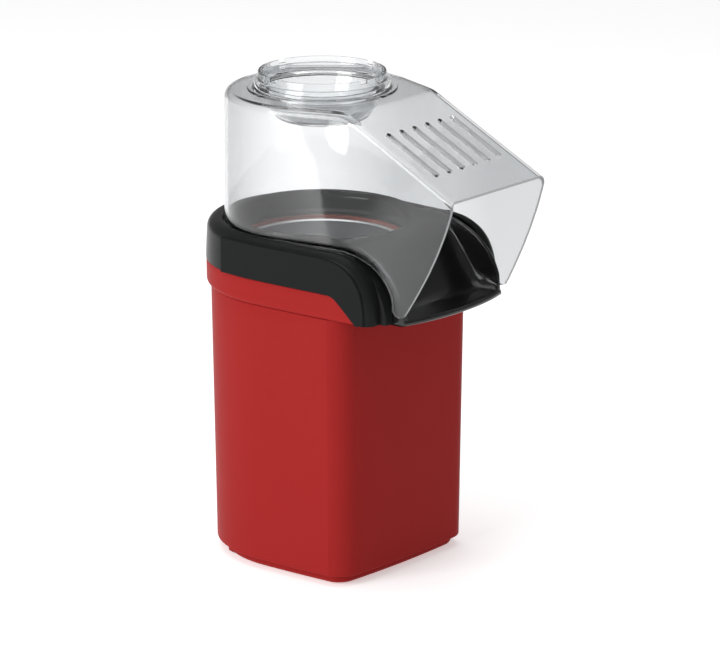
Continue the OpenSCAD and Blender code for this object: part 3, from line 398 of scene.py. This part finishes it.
def arch(t):
    """The cheek's crest seen from the side: (y, z) and its outward normal."""
    def at(u):
        return cheek_start - 37 * math.sin(u) ** 0.8, 163 + 39 * max(math.cos(u), 0) ** 0.8
    if t <= 0:
        return (cheek_start, collar_top), (0, 1)
    y, z = at(t)
    y0, z0 = at(max(t - 0.01, 1e-6))
    y1, z1 = at(min(t + 0.01, math.pi / 2))
    dy, dz = y1 - y0, z1 - z0
    size = math.hypot(dy, dz)
    return (y, z), (dz / size, -dy / size)


def trench(t):
    """Bottom of the gap between cheek and cover, seen from the side."""
    return -(50 + 40 * math.sin(t)), 163.3 + 36.9 * math.cos(t)


def seat_edge(y):
    """Half width of the cover's seat along the cheeks."""
    return (seat_outer + 0.0889 * y) / 0.996


collar_stations = [("drop", -1)] + [("arch", -1, math.pi / 2 * (1 - i / 36)) for i in range(36)]
collar_stations += [("level", -1, cheek_start * (1 - i / 16)) for i in range(16)]
collar_stations += [("back", math.pi * (1 - i / 96)) for i in range(97)]
collar_stations += [("level", 1, cheek_start * i / 16) for i in range(1, 16)]
collar_stations += [("arch", 1, math.pi / 2 * i / 36) for i in range(37)] + [("drop", 1)]


def collar_column(st):
    """The collar's section at one station, from the outer foot over the shoulder to the seat."""
    points = []
    if st[0] == "back":
        a = st[1]
        base = Vector((collar_half * math.cos(a), collar_back * math.sin(a)))
        out = Vector((math.cos(a) / collar_half, math.sin(a) / collar_back)).normalized()
        for draw, z in ((0, collar_foot), (0, 178.2), (0.2, 184), (0.5, 190), (0.8, collar_top - shoulder)):
            p = base - out * draw
            points.append((p.x, p.y, z))
        for k in range(1, 11):
            b = math.radians(9 * k)
            p = base - out * (0.8 + shoulder * (1 - math.cos(b)))
            points.append((p.x, p.y, collar_top - shoulder + shoulder * math.sin(b)))
        edge = Vector((seat_outer * math.cos(a), seat_outer * math.sin(a)))
        low = Vector((seat_inner * math.cos(a), seat_inner * math.sin(a)))
        rim = edge + (Vector((points[-1][0], points[-1][1])) - edge) * 0.18
        seat = [(rim, collar_top), (edge, 201.4), (edge, 200.9), (edge * 0.998, seat_z)]
        for p, z in seat + [(low, seat_z), (low, collar_ledge)]:
            points.append((p.x, p.y, z))
        under = base - out * 3
        points += [(under.x, under.y, collar_ledge), (under.x, under.y, collar_foot)]
        return points
    sign = st[1]
    if st[0] == "level":
        (y, z), n, q = (st[2], collar_top), (0, 1), (st[2], seat_z)
    else:
        t = math.pi / 2 if st[0] == "drop" else st[2]
        (y, z), n = arch(t)
        q = trench(t)
    ys, zs = y - shoulder * n[0], z - shoulder * n[1]
    low = cut_height(ys, 177.6) + 0.15 if ys > -78 else 162.35
    low = min(low, zs)
    half = rim_half - 0.5 - rim_taper * (ys / taper_reach) ** 2
    for f, taper in ((0, 0), (0.04, 0), (0.35, 0.2), (0.7, 0.5), (1, 0.8)):
        points.append((sign * (half - taper), ys, low + (zs - low) * f))
    for k in range(1, 11):
        b = math.radians(9 * k)
        points.append((sign * (half - 0.8 - shoulder * (1 - math.cos(b))),
                       ys + n[0] * shoulder * math.sin(b), zs + n[1] * shoulder * math.sin(b)))
    edge = seat_edge(y)
    inner = points[-1][0] * sign
    rim = edge + (inner - edge) * 0.18
    proud = max(0.0, min(1.0, ((q[0] - y) * n[0] + (q[1] - z) * n[1] + 1) / 4))
    points.append((sign * rim, y, z))
    points.append((sign * edge, y - 0.6 * n[0], z - 0.6 * n[1]))
    for f, dx, drop in ((0.5, 0, 2.2), (0.96, 0.05, 1.6), (1, 0.5, 0.9)):
        py, pz = y + (q[0] - y) * f, z + (q[1] - z) * f
        points.append((sign * (edge - dx), py - n[0] * drop * proud, pz - n[1] * drop * proud))
    gap = chute_half if y < -34 else max(chute_half, math.sqrt(max(seat_inner ** 2 - y * y, 0)))
    points.append((sign * gap, q[0], q[1]))
    points += [(sign * gap, max(ys, q[0]), low), (sign * (half - 3), ys, low)]
    if st[0] == "drop":
        points = [(p[0], p[1], cheek_foot) for p in points]
    return points


columns_of_points = [collar_column(st) for st in collar_stations]
depth = min(len(c) for c in columns_of_points)
collar_rows = [[c[k] for c in columns_of_points] for k in range(depth)]
collar_skin = build("collar_skin", collar_rows, wrap_rows=True, caps=True, sharp=35)


def flank_pad(sign):
    """The matt pad on one flank: flat face, crisp edges, same sweep as the crest."""
    pad_end = 23
    tops = []
    for i in range(33):
        (y, z), n = arch(math.pi / 2 * (1 - i / 32))
        tops.append((y - 3.4 * n[0], z - 3.4 * n[1]))
    tops += [(cheek_start + (pad_end - cheek_start) * i / 24, 198.6) for i in range(1, 25)]
    rows = []
    for lift, shrink in ((1.6, 0.0), (0.35, 0.0), (0.0, 0.35)):
        row = []
        for k, (y, z) in enumerate(tops):
            yy = y + shrink if k < 33 else min(y, pad_end - shrink)
            low = cut_height(yy, 177.6) + 0.3 if yy > -77 else 162.5
            row.append((yy, min(low + shrink, z), max(z - shrink, low), lift))
        rows.append(row)

    def face(y, inset):
        half = rim_half - 0.2 - inset
        return half - rim_taper * (y / taper_reach) ** 2 if y < 0 else half - 0.0125 * y - 0.0016 * y * y

    loops = []
    for row in rows:
        loop = [(sign * face(y, lift), y, hi) for y, lo, hi, lift in row]
        loop += [(sign * face(y, lift), y, lo) for y, lo, hi, lift in reversed(row)]
        loops.append(loop)
    walls = build("pad_walls", loops, wrap_cols=True, sharp=25)
    steps = 8
    sheet = []
    for j in range(steps + 1):
        sheet.append([(sign * face(y, lift), y, lo + (hi - lo) * j / steps) for y, lo, hi, lift in rows[-1]])
    return [walls, build("pad_face", sheet, sharp=40)]


black = finish("black_satin", (0.0135, 0.014, 0.014), 0.24, shine=0.06, grain=0.03, grain_size=0.5, wear=0.05)
matt = finish("black_matt", (0.0145, 0.015, 0.015), 0.48, shine=0.03, grain=0.1, grain_size=0.35, wear=0.04)
install(collar_skin, "housing", ["collar"], black)
for side_name, sign in (("left", -1), ("right", 1)):
    pad_piece = merge("flank_pad_" + side_name, flank_pad(sign))
    pad_piece.data.materials.append(matt)
    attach(pad_piece, "housing")

# ---------------------------------------------------------------- Chute tray
# Glossy black moulding inside the collar: a ring around the throat, a deck, and a ramp between two
# rolled rails that ends in a crowned spout. Screwed to the collar from below.

rail_outer, cove_radius, throat_radius = 44.6, 9, 53


def rail_height(y):
    """Height of the rails' crest."""
    s = min(max((-y - 45) / 54, 0), 1)
    return 161 + 44 * (1 - s ** 2.222) ** 0.45


def ramp_height(y):
    """Height of the ramp's floor, level with the throat at first."""
    s = min(max((-y - 50.5) / 37.5, 0), 1)
    return 202 - 36.7 * (3 * s * s - 2 * s ** 3)


def spout_edge(x):
    """How far forward the crowned spout reaches at x."""
    return -(84 + 20.7 * math.sqrt(max(1 - (x / 61.7) ** 2, 0)))


across = [(rail_outer, "foot"), (rail_outer, "wall")]
across += [(44.5, "rim", 0.0), (44.25, "rim", 0.55), (43.7, "rim", 0.95), (43.2, "rim", 1.0)]
across += [(42.6, "rim", 0.9), (42.15, "rim", 0.5), (42.0, "rim", 0.0), (41.9, "inner", 0.6)]
for degrees in range(0, 91, 15):
    a = math.radians(degrees)
    across.append((41.8 - cove_radius * (1 - math.cos(a)), "cove", cove_radius * (1 - math.sin(a))))
across += [(27, "floor"), (20, "floor"), (13, "floor"), (6, "floor")]
across = [(-x, *k) for x, *k in across] + [(0, "floor")] + [(x, *k) for x, *k in reversed(across)]
along = [math.pi / 2 * i / 40 for i in range(41)]
spout_round = [(-0.65, 165.1), (-1.1, 164.7), (-1.35, 164.1), (-1.4, 163.4), (-1.2, 162.7)]
spout_round += [(-0.6, 162.1), (0.4, 161.7), (2.5, 161.5)]
tray_rows = []
for x, kind, *rest in across:
    row = []
    start = -math.sqrt(throat_radius ** 2 - min(abs(x), rail_outer) ** 2)
    spout = spout_edge(x) + 1.4
    for t in along:
        y = start + (spout - start) * math.sin(t) ** 0.9
        floor = ramp_height(y)
        rail = max(rail_height(y), floor + 0.02)
        base = cheek_foot if y < -50 else 197.6
        top = {"foot": base, "wall": base + (rail - 1.5 - base) * 0.5, "floor": floor}.get(kind)
        if kind == "rim":
            top = rail - 1.3 * (1 - rest[0]) * min(1, (rail - floor) / 4)
        if kind == "inner":
            top = floor + (rail - 1.3 - floor) * rest[0]
        if kind == "cove":
            top = floor + rest[0] * min(1, max(rail - 2 - floor, 0) / 20)
        if kind == "wall":
            top = max(top, base)
        row.append((x, y, top))
    end = row[-1][2]
    for dy, z in spout_round:
        row.append((x, spout + dy, min(z, end) if kind != "foot" else min(z, cheek_foot)))
    row += [(x, -78.5, 161.6), (x, -77.5, 162.2), (x, -60, 162.2)]
    tray_rows.append(row)
ramp = build("ramp", tray_rows, sharp=38)

throat_profile = [(48.5, 190.6), (48.5, 192.6), (48.9, 193), (51.1, 193), (51.5, 193.4), (51.5, 200)]
for degrees in range(0, 91, 15):
    a = math.radians(degrees)
    throat_profile.append((throat_radius - 1.5 * math.cos(a), 200.5 + 1.5 * math.sin(a)))
throat_profile += [(54.4, 202), (54.7, 201.6), (54.7, 190.9), (54.3, 190.6)]
throat = ring_solid("throat", throat_profile, 128)


def crest(steps=110):
    """The raised rim around the back of the throat, running out at both ends of the gap."""
    rows = []
    profile = [(51.75, 0)]
    for degrees in range(0, 181, 15):
        a = math.radians(degrees)
        profile.append((53.1 - 1.35 * math.cos(a), 0.75 + 0.25 * math.sin(a)))
    profile.append((54.6, 0))
    for r, h in profile:
        row = []
        for i in range(steps + 1):
            degrees = -49 + 278 * i / steps
            a = math.radians(degrees)
            ends = min(degrees + 49, 229 - degrees) / 9
            rise = 2.9 * (1 if ends >= 1 else 0.5 - 0.5 * math.cos(math.pi * ends))
            row.append((r * math.cos(a), r * math.sin(a), 201.7 + (rise + 0.3) * h))
        rows.append(row)
    return build("crest", rows, wrap_rows=True, caps=True, sharp=38)


tray = merge("chute_tray_moulding", [ramp, throat, crest()])
gloss_black = finish("black_gloss", (0.009, 0.009, 0.009), 0.16, shine=0.4, grain=0.015, grain_size=1.2,
                     wear=0.05)
install(tray, "housing", ["chute_tray"], gloss_black)

# ---------------------------------------------------------------- Clear cover
# Clear moulded plastic, 2 mm thick: a drum that draws in towards the front, a sloping hood with six
# vents, pointed cheeks beside the chute, and a ring on top that holds the cup. It lifts straight off.

drum_top, drum_foot, drum_radius, drum_foot_radius = 279.5, 200.5, 57, 57.5
crease_y, hood_slope, lip_y, tip_z, corner, cover_wall = 50.8, 0.4975, 130.4, 172.3, 4.6, 2
vents, vent_step, vent_y, vent_half, vent_half_width = 6, 11.6, -91.5, 21, 1.6


def cover_top(y):
    """Height of the cover's top: level over the drum, then down the hood."""
    d = -y - crease_y
    return drum_top - hood_slope * 0.5 * (d + math.sqrt(d * d + 9))


def cover_low(y):
    """Height of the side's lower edge: drum foot, cheek, rounded tip, and the curve up to the lip."""
    if y > -50:
        return drum_foot
    if y > -92:
        return tip_z + (drum_foot - tip_z) * math.sqrt(max(1 - ((-y - 50) / 42) ** 2, 0))
    if y > -100.8:
        return tip_z - math.sqrt(max(4.8 ** 2 - (y + 96.8) ** 2, 0))
    best, t = 1e9, 0
    for k in range(201):
        u = k / 200
        e = -((1 - u) ** 2 * 101.1 + 2 * u * (1 - u) * 122.4 + u * u * lip_y)
        if abs(e - y) < best:
            best, t = abs(e - y), u
    return (1 - t) ** 2 * 170.6 + 2 * t * (1 - t) * 205.5 + t * t * 235.1


def cover_side(y, z):
    """Half width of the cover at depth y and height z."""
    if y > -20:
        top = math.sqrt(drum_radius ** 2 - y * y)
    else:
        short = 30.8 + y + 20
        top = 41.8 + 0.377 * 0.5 * (short + math.sqrt(short * short + 25)) + 0.0126 * max(-short, 0)
    low = math.sqrt(drum_foot_radius ** 2 - y * y) if y > -6 else 57.2 - 0.103 * (-y - 6)
    f = min(max((z - 172) / max(cover_top(y) - 172, 1), 0), 1)
    return low + (top - low) * f


depths = [("back", math.radians(90 - 2.5 * i)) for i in range(36)]
side_depths = [-i * 2.5 for i in range(0, 18)]
side_depths += [-44, -46, -48, -49.5, -50.8, -52, -53.5, -55.5, -58, -61, -64.5, -68, -72, -76, -80]
side_depths += [-83.5, -86.5, -89, -90.6, -91.6, -92, -92.4, -93.2, -94.6, -96.8, -99, -100.2, -100.8]
side_depths += [-101.1 - (lip_y - 101.1) * math.sin(math.pi / 2 * i / 30) for i in range(0, 31)]
depths += [("side", y) for y in side_depths]
levels = [0, 0.05, 0.12, 0.22, 0.34, 0.46, 0.58, 0.7, 0.82, 0.92]
up = Vector((0, 0, 1))
cover_rows = []
for kind, value in depths:
    if kind == "back":
        out = Vector((math.cos(value), math.sin(value), 0))
        edge = out * drum_radius + up * drum_top
        low_point = out * drum_foot_radius + up * drum_foot
    else:
        y = value
        out = Vector((1, 0, 0))
        edge = Vector((cover_side(y, 1e3), y, cover_top(y)))
        low_point = Vector((0, y, min(cover_low(y), cover_top(y) - 0.3)))
        low_point.x = cover_side(y, low_point.z)
        if y > -50:
            a = -math.atan2(-y, drum_radius)
            out = Vector((math.cos(a), math.sin(a), 0)).lerp(Vector((1, 0, 0)), min(-y / 50, 1)).normalized()
    centre = edge - corner * out - corner * up
    first = centre + corner * out
    half_arch = []
    for f in levels:
        p = low_point.lerp(first, f)
        if kind == "side":
            p.x = cover_side(p.y, p.z) if f < 0.9 else p.x
        half_arch.append(p)
    bite = 0.0
    if kind == "side" and first.z < low_point.z:
        bite = math.asin(min((low_point.z - centre.z) / corner, 0.999))
        half_arch = [centre + corner * (math.cos(bite) * out + math.sin(bite) * up)] * len(levels)
    for k in range(0, 9):
        b = bite + (math.pi / 2 - bite) * k / 8
        half_arch.append(centre + corner * (math.cos(b) * out + math.sin(b) * up))
    start = half_arch[-1]
    half_arch += [Vector((start.x * (1 - i / 8), start.y, start.z)) for i in range(1, 9)]
    left = [(-p.x, p.y, p.z) for p in half_arch]
    right = [(p.x, p.y, p.z) for p in reversed(half_arch[:-1])]
    cover_rows.append(left + right)
hull = build("cover_skin", cover_rows, sharp=60)


def apply_all(piece):
    """Bakes the piece's modifiers into its mesh."""
    done = bpy.data.meshes.new_from_object(piece.evaluated_get(bpy.context.evaluated_depsgraph_get()))
    piece.modifiers.clear()
    piece.data = done


def combine(piece, tool, operation):
    """Joins a tool to a piece, or cuts it away, and removes the tool."""
    step = piece.modifiers.new("step", "BOOLEAN")
    step.operation = operation
    step.object = tool
    step.solver = "EXACT"
    apply_all(piece)
    bpy.data.objects.remove(tool)


bm = bmesh.new()
bm.from_mesh(hull.data)
bmesh.ops.recalc_face_normals(bm, faces=bm.faces)
if sum(f.normal.z * f.calc_area() for f in bm.faces) < 0:
    bmesh.ops.reverse_faces(bm, faces=bm.faces)
bm.to_mesh(hull.data)
bm.free()
hull.data.materials.append(None)
hull.data.materials.append(None)
wall = hull.modifiers.new("wall", "SOLIDIFY")
wall.thickness = cover_wall / 1000
wall.offset = -1
wall.use_quality_normals = True
# The solidify rim takes slot 1, which gets the painted grey edge shade.
wall.material_offset_rim = 1
apply_all(hull)

cup_hole = 35.1
seat_profile = [(cup_hole, 278.4), (44.0, 278.4), (44.0, 280.2), (43.6, 280.7), (41.0, 280.7), (40.4, 281.2)]
seat_profile += [(40.1, 281.8), (39.9, 285.3), (39.6, 285.7), (38.2, 285.7), (37.8, 285.4)]
seat_profile += [(37.8, 279.55), (cup_hole, 279.55)]
combine(hull, ring_solid("seat", seat_profile, 128), "UNION")
hole_profile = [(0.01, 270), (cup_hole, 270), (cup_hole, 282), (0.01, 282)]
combine(hull, ring_solid("cup_hole", hole_profile, 128), "DIFFERENCE")


lean = math.atan(hood_slope)
along_hood = Vector((0, math.cos(lean), math.sin(lean)))
square = Vector((0, -math.sin(lean), math.cos(lean)))


def vent_cutter(x):
    """A long slot with round ends, standing square to the hood."""
    middle = Vector((x, vent_y, cover_top(vent_y)))
    loop = []
    for sign, base in ((1, 0), (-1, 180)):
        for degrees in range(0, 181, 15):
            b = math.radians(base + degrees)
            v = sign * (vent_half - vent_half_width) + vent_half_width * math.sin(b)
            loop.append((vent_half_width * math.cos(b), v))
    rows = []
    for depth in (-6, 6):
        rows.append([middle + Vector((u, 0, 0)) + along_hood * v + square * depth for u, v in loop])
    return build("slot", rows, wrap_cols=True, caps=True)


for i in range(vents):
    combine(hull, vent_cutter((i - (vents - 1) / 2) * vent_step), "DIFFERENCE")
hull.data.polygons.foreach_set("use_smooth", [True] * len(hull.data.polygons))
hull.data.set_sharp_from_angle(angle=math.radians(40))
behind, ahead = spot(0, vent_y + 10.5, 0)[1], spot(0, vent_y - 10.5, 0)[1]
# Material indices for the painted edge shade: 1 for the solidify rim, 2 for the vent walls.
edge_faces = []
for face in hull.data.polygons:
    in_vent = abs(face.center.x) < 0.0315 and ahead < face.center.y < behind and face.center.z > 0.2
    vent_wall = in_vent and abs(face.normal.dot(square)) < 0.4
    edge_faces.append(2 if vent_wall else face.material_index)


def clear_plastic(name, side_shade):
    """Clear plastic that greys towards grazing angles, with painted shade greying the hood's side walls."""
    made = bpy.data.materials.new(name)
    made.use_nodes = True
    tree = made.node_tree
    shader = tree.nodes["Principled BSDF"]
    shader.inputs["Transmission Weight"].default_value = 1
    shader.inputs["IOR"].default_value = 1.14
    shader.inputs["Coat Weight"].default_value = 0.8
    shader.inputs["Coat Roughness"].default_value = 0.03
    coords = tree.nodes.new("ShaderNodeTexCoord")

    def math_node(operation, a, b):
        step = tree.nodes.new("ShaderNodeMath")
        step.operation = operation
        for socket, value in zip(step.inputs, (a, b)):
            if isinstance(value, (int, float)):
                socket.default_value = value
            else:
                tree.links.new(value, socket)
        return step.outputs[0]

    def ramp(value, low, high):
        spread = tree.nodes.new("ShaderNodeMapRange")
        spread.inputs["From Min"].default_value = low
        spread.inputs["From Max"].default_value = high
        tree.links.new(value, spread.inputs["Value"])
        return spread.outputs["Result"]

    def mix(factor, a, b):
        blend = tree.nodes.new("ShaderNodeMix")
        blend.data_type = "RGBA"
        tree.links.new(factor, blend.inputs["Factor"])
        for socket, value in ((blend.inputs["A"], a), (blend.inputs["B"], b)):
            if isinstance(value, tuple):
                socket.default_value = value
            else:
                tree.links.new(value, socket)
        return blend.outputs["Result"]

    facing = tree.nodes.new("ShaderNodeLayerWeight")
    facing.inputs["Blend"].default_value = 0.5
    glance = math_node("POWER", facing.outputs["Facing"], 1.2)
    tint = mix(glance, (0.95, 0.957, 0.963, 1), (0.52, 0.535, 0.55, 1))
    place = tree.nodes.new("ShaderNodeSeparateXYZ")
    tree.links.new(coords.outputs["Object"], place.inputs[0])
    flank = ramp(math_node("ABSOLUTE", place.outputs["X"], 0), 0.036, 0.041)
    hood = ramp(place.outputs["Y"], -0.010, -0.060)
    # Painted shade: where the flank and hood masks meet, the tint is mixed towards a darker grey.
    tint = mix(math_node("MULTIPLY", math_node("MULTIPLY", flank, hood), side_shade), tint, (0.58, 0.595, 0.61, 1))
    tree.links.new(tint, shader.inputs["Base Color"])
    ripple = tree.nodes.new("ShaderNodeTexNoise")
    ripple.inputs["Scale"].default_value = 45
    ripple.inputs["Detail"].default_value = 2
    tree.links.new(coords.outputs["Object"], ripple.inputs["Vector"])
    bump = tree.nodes.new("ShaderNodeBump")
    bump.inputs["Strength"].default_value = 0.12
    bump.inputs["Distance"].default_value = 0.0004
    tree.links.new(ripple.outputs["Fac"], bump.inputs["Height"])
    tree.links.new(bump.outputs["Normal"], shader.inputs["Normal"])
    spread = tree.nodes.new("ShaderNodeMapRange")
    spread.inputs["To Min"].default_value = 0.01
    spread.inputs["To Max"].default_value = 0.05
    tree.links.new(ripple.outputs["Fac"], spread.inputs["Value"])
    tree.links.new(spread.outputs["Result"], shader.inputs["Roughness"])
    return made


clear = clear_plastic("clear_plastic", 0.6)
install(hull, "cover", ["clear_cover"], clear)
# Painted shade: the cut edges of the clear walls get an opaque grey finish where light would show them grey.
edge_shade = finish("clear_edge_painted_shade", (0.33, 0.34, 0.345), 0.3, shine=0.4, grain=0.02, wear=0.05)
# Painted shade: the vent walls get a lighter, half-clear grey finish where light would show them grey.
vent_shade = finish("clear_vent_painted_shade", (0.62, 0.63, 0.64), 0.25, shine=0.5, grain=0.02, wear=0.05)
vent_shade.node_tree.nodes["Principled BSDF"].inputs["Transmission Weight"].default_value = 0.45
hull.data.materials.append(edge_shade)
hull.data.materials.append(vent_shade)
hull.data.polygons.foreach_set("material_index", edge_faces)

# ---------------------------------------------------------------- Measuring cup
# Clear plastic cup with a stepped bowl and an upright ring that stands in the cover's ring.
# Four small notches in its rim. It lifts straight out.

bowl_outside = [(0.01, 261.8), (24.6, 261.8), (26.2, 262.1), (27.4, 262.9), (28.2, 264.2), (29.4, 266.6)]
bowl_outside += [(34.0, 278.6), (34.4, 279.5), (34.8, 279.8), (37.0, 279.8), (37.5, 280.3)]
cup_rim = [(37.5, 289.4), (37.2, 289.85), (36.7, 290), (36.2, 289.85), (35.9, 289.4), (35.9, 282.1)]
bowl_inside = [(35.5, 281.6), (33.8, 281.5), (33.1, 281.1), (28.0, 267.2), (26.7, 264.8), (25.6, 263.8)]
bowl_inside += [(24.2, 263.5), (0.01, 263.5)]
cup_profile = bowl_outside + cup_rim + bowl_inside
notches, notch_half = 4, 2.5
cup = ring_solid("cup", cup_profile, 128)
for i in range(notches):
    a = math.radians(-10 + 360 / notches * i)
    u, v = Vector((math.cos(a), math.sin(a))), Vector((-math.sin(a), math.cos(a)))
    inner, outer = u * 33, u * 41
    around = [inner - v * notch_half, outer - v * notch_half, outer + v * notch_half, inner + v * notch_half]
    rows = [[(p.x, p.y, z) for p in around] for z in (287.7, 292)]
    combine(cup, build("notch", rows, wrap_cols=True, caps=True), "DIFFERENCE")
cup.data.polygons.foreach_set("use_smooth", [True] * len(cup.data.polygons))
cup.data.set_sharp_from_angle(angle=math.radians(35))
install(cup, "cup", ["measuring_cup"], clear)

# ---------------------------------------------------------------- Chamber and heater
# A spun aluminium pot with louvres, a silicone ring above it, a sheet-steel shield around it, and
# below it mica boards that carry three rings of coiled wire. Screwed under the tray.

aluminium = finish("spun_aluminium", (0.78, 0.79, 0.80), 0.3, metal=1, grain=0.12, grain_size=0.5, wear=0.08,
                   stretch=(0.15, 0.15, 6))
steel = finish("zinc_steel", (0.62, 0.62, 0.60), 0.32, metal=1, grain=0.05, wear=0.08, mottle=0.08,
               mottle_size=3)
sheet = finish("galvanised_sheet", (0.58, 0.60, 0.62), 0.38, metal=1, wear=0.12, mottle=0.15, mottle_size=5)
silicone = finish("red_silicone", (0.32, 0.07, 0.045), 0.55, grain=0.08, wear=0.05, mottle=0.05)
mica = finish("mica_board", (0.62, 0.52, 0.34), 0.45, grain=0.15, grain_size=1.5, wear=0.12, mottle=0.25,
              mottle_size=6)
wire = finish("heater_wire", (0.34, 0.31, 0.29), 0.42, metal=1, grain=0.8, grain_size=0.9, wear=0.1,
              mottle=0.2)
phenolic = finish("dark_phenolic", (0.03, 0.028, 0.026), 0.5, grain=0.1, wear=0.08, mottle=0.2, mottle_size=2)
ceramic = finish("white_block", (0.78, 0.77, 0.72), 0.4, grain=0.04, wear=0.06, mottle=0.04)
dress(aluminium, "popping_chamber")
dress(silicone, "chamber_seal")
dress(steel, "base_screws", "collar_screws", "tray_screws", "chamber_screws", "blower_screws", "motor_screws")
dress(sheet, "heat_shield", "heater_base", "motor_can")
dress(mica, "mica_liner", "mica_board_a", "mica_board_b")
dress(wire, "heating_coils")
dress(phenolic, "thermostat", "motor_end_cap", "rectifier_diodes")
dress(ceramic, "thermal_fuse", "terminal_block")

# ---------------------------------------------------------------- Blower and motor
# A moulded blower housing with a bladed fan on a steel shaft; a small can motor hangs under its
# floor on two screws, with a rectifier board below. All of it sits inside the lower housing.

blower = finish("heatproof_moulding", (0.70, 0.67, 0.60), 0.5, grain=0.08, wear=0.06, mottle=0.04)
fan_white = finish("fan_moulding", (0.82, 0.82, 0.79), 0.42, grain=0.06, wear=0.06, mottle=0.03)
brass = finish("turned_brass", (0.72, 0.52, 0.22), 0.28, metal=1, grain=0.05, wear=0.1, mottle=0.08)
ground = finish("ground_steel", (0.72, 0.72, 0.74), 0.22, metal=1, grain=0.06, wear=0.06, stretch=(1, 1, 12))
ferrite = finish("ferrite", (0.10, 0.10, 0.11), 0.6, grain=0.2, wear=0.1, mottle=0.15)
laminated = finish("laminated_core", (0.30, 0.30, 0.31), 0.45, metal=1, grain=0.5, grain_size=1.2, wear=0.1,
                   stretch=(0.1, 0.1, 3))
copper = finish("enamelled_copper", (0.62, 0.27, 0.11), 0.3, metal=1, grain=0.5, grain_size=0.8, wear=0.1,
                mottle=0.1)
carbon = finish("carbon", (0.07, 0.07, 0.07), 0.65, grain=0.2, wear=0.08)
board = finish("circuit_board", (0.05, 0.19, 0.08), 0.4, grain=0.06, wear=0.08, mottle=0.15, mottle_size=3)
dress(blower, "blower_housing")
dress(fan_white, "fan")
dress(brass, "fan_nut", "motor_bushes")
dress(ground, "motor_shaft")
dress(ferrite, "motor_magnets")
dress(laminated, "armature_core")
dress(copper, "armature_windings", "commutator")
dress(carbon, "motor_brushes")
dress(board, "rectifier_board")

# ---------------------------------------------------------------- Switch, gland and feet
# A snap-in rocker switch on a pad at the back, a threaded cord gland below it, and four rubber
# feet pressed into the base plate.

rocker_red = finish("rocker_red", (0.50, 0.02, 0.02), 0.25, grain=0.03, wear=0.05, mottle=0.03)
rubber = finish("foot_rubber", (0.03, 0.03, 0.03), 0.75, grain=0.25, grain_size=0.8, wear=0.08)
dress(black, "switch_body", "cord_gland")
dress(rocker_red, "switch_rocker")
dress(brass, "switch_terminals")
dress(rubber, "rubber_feet")
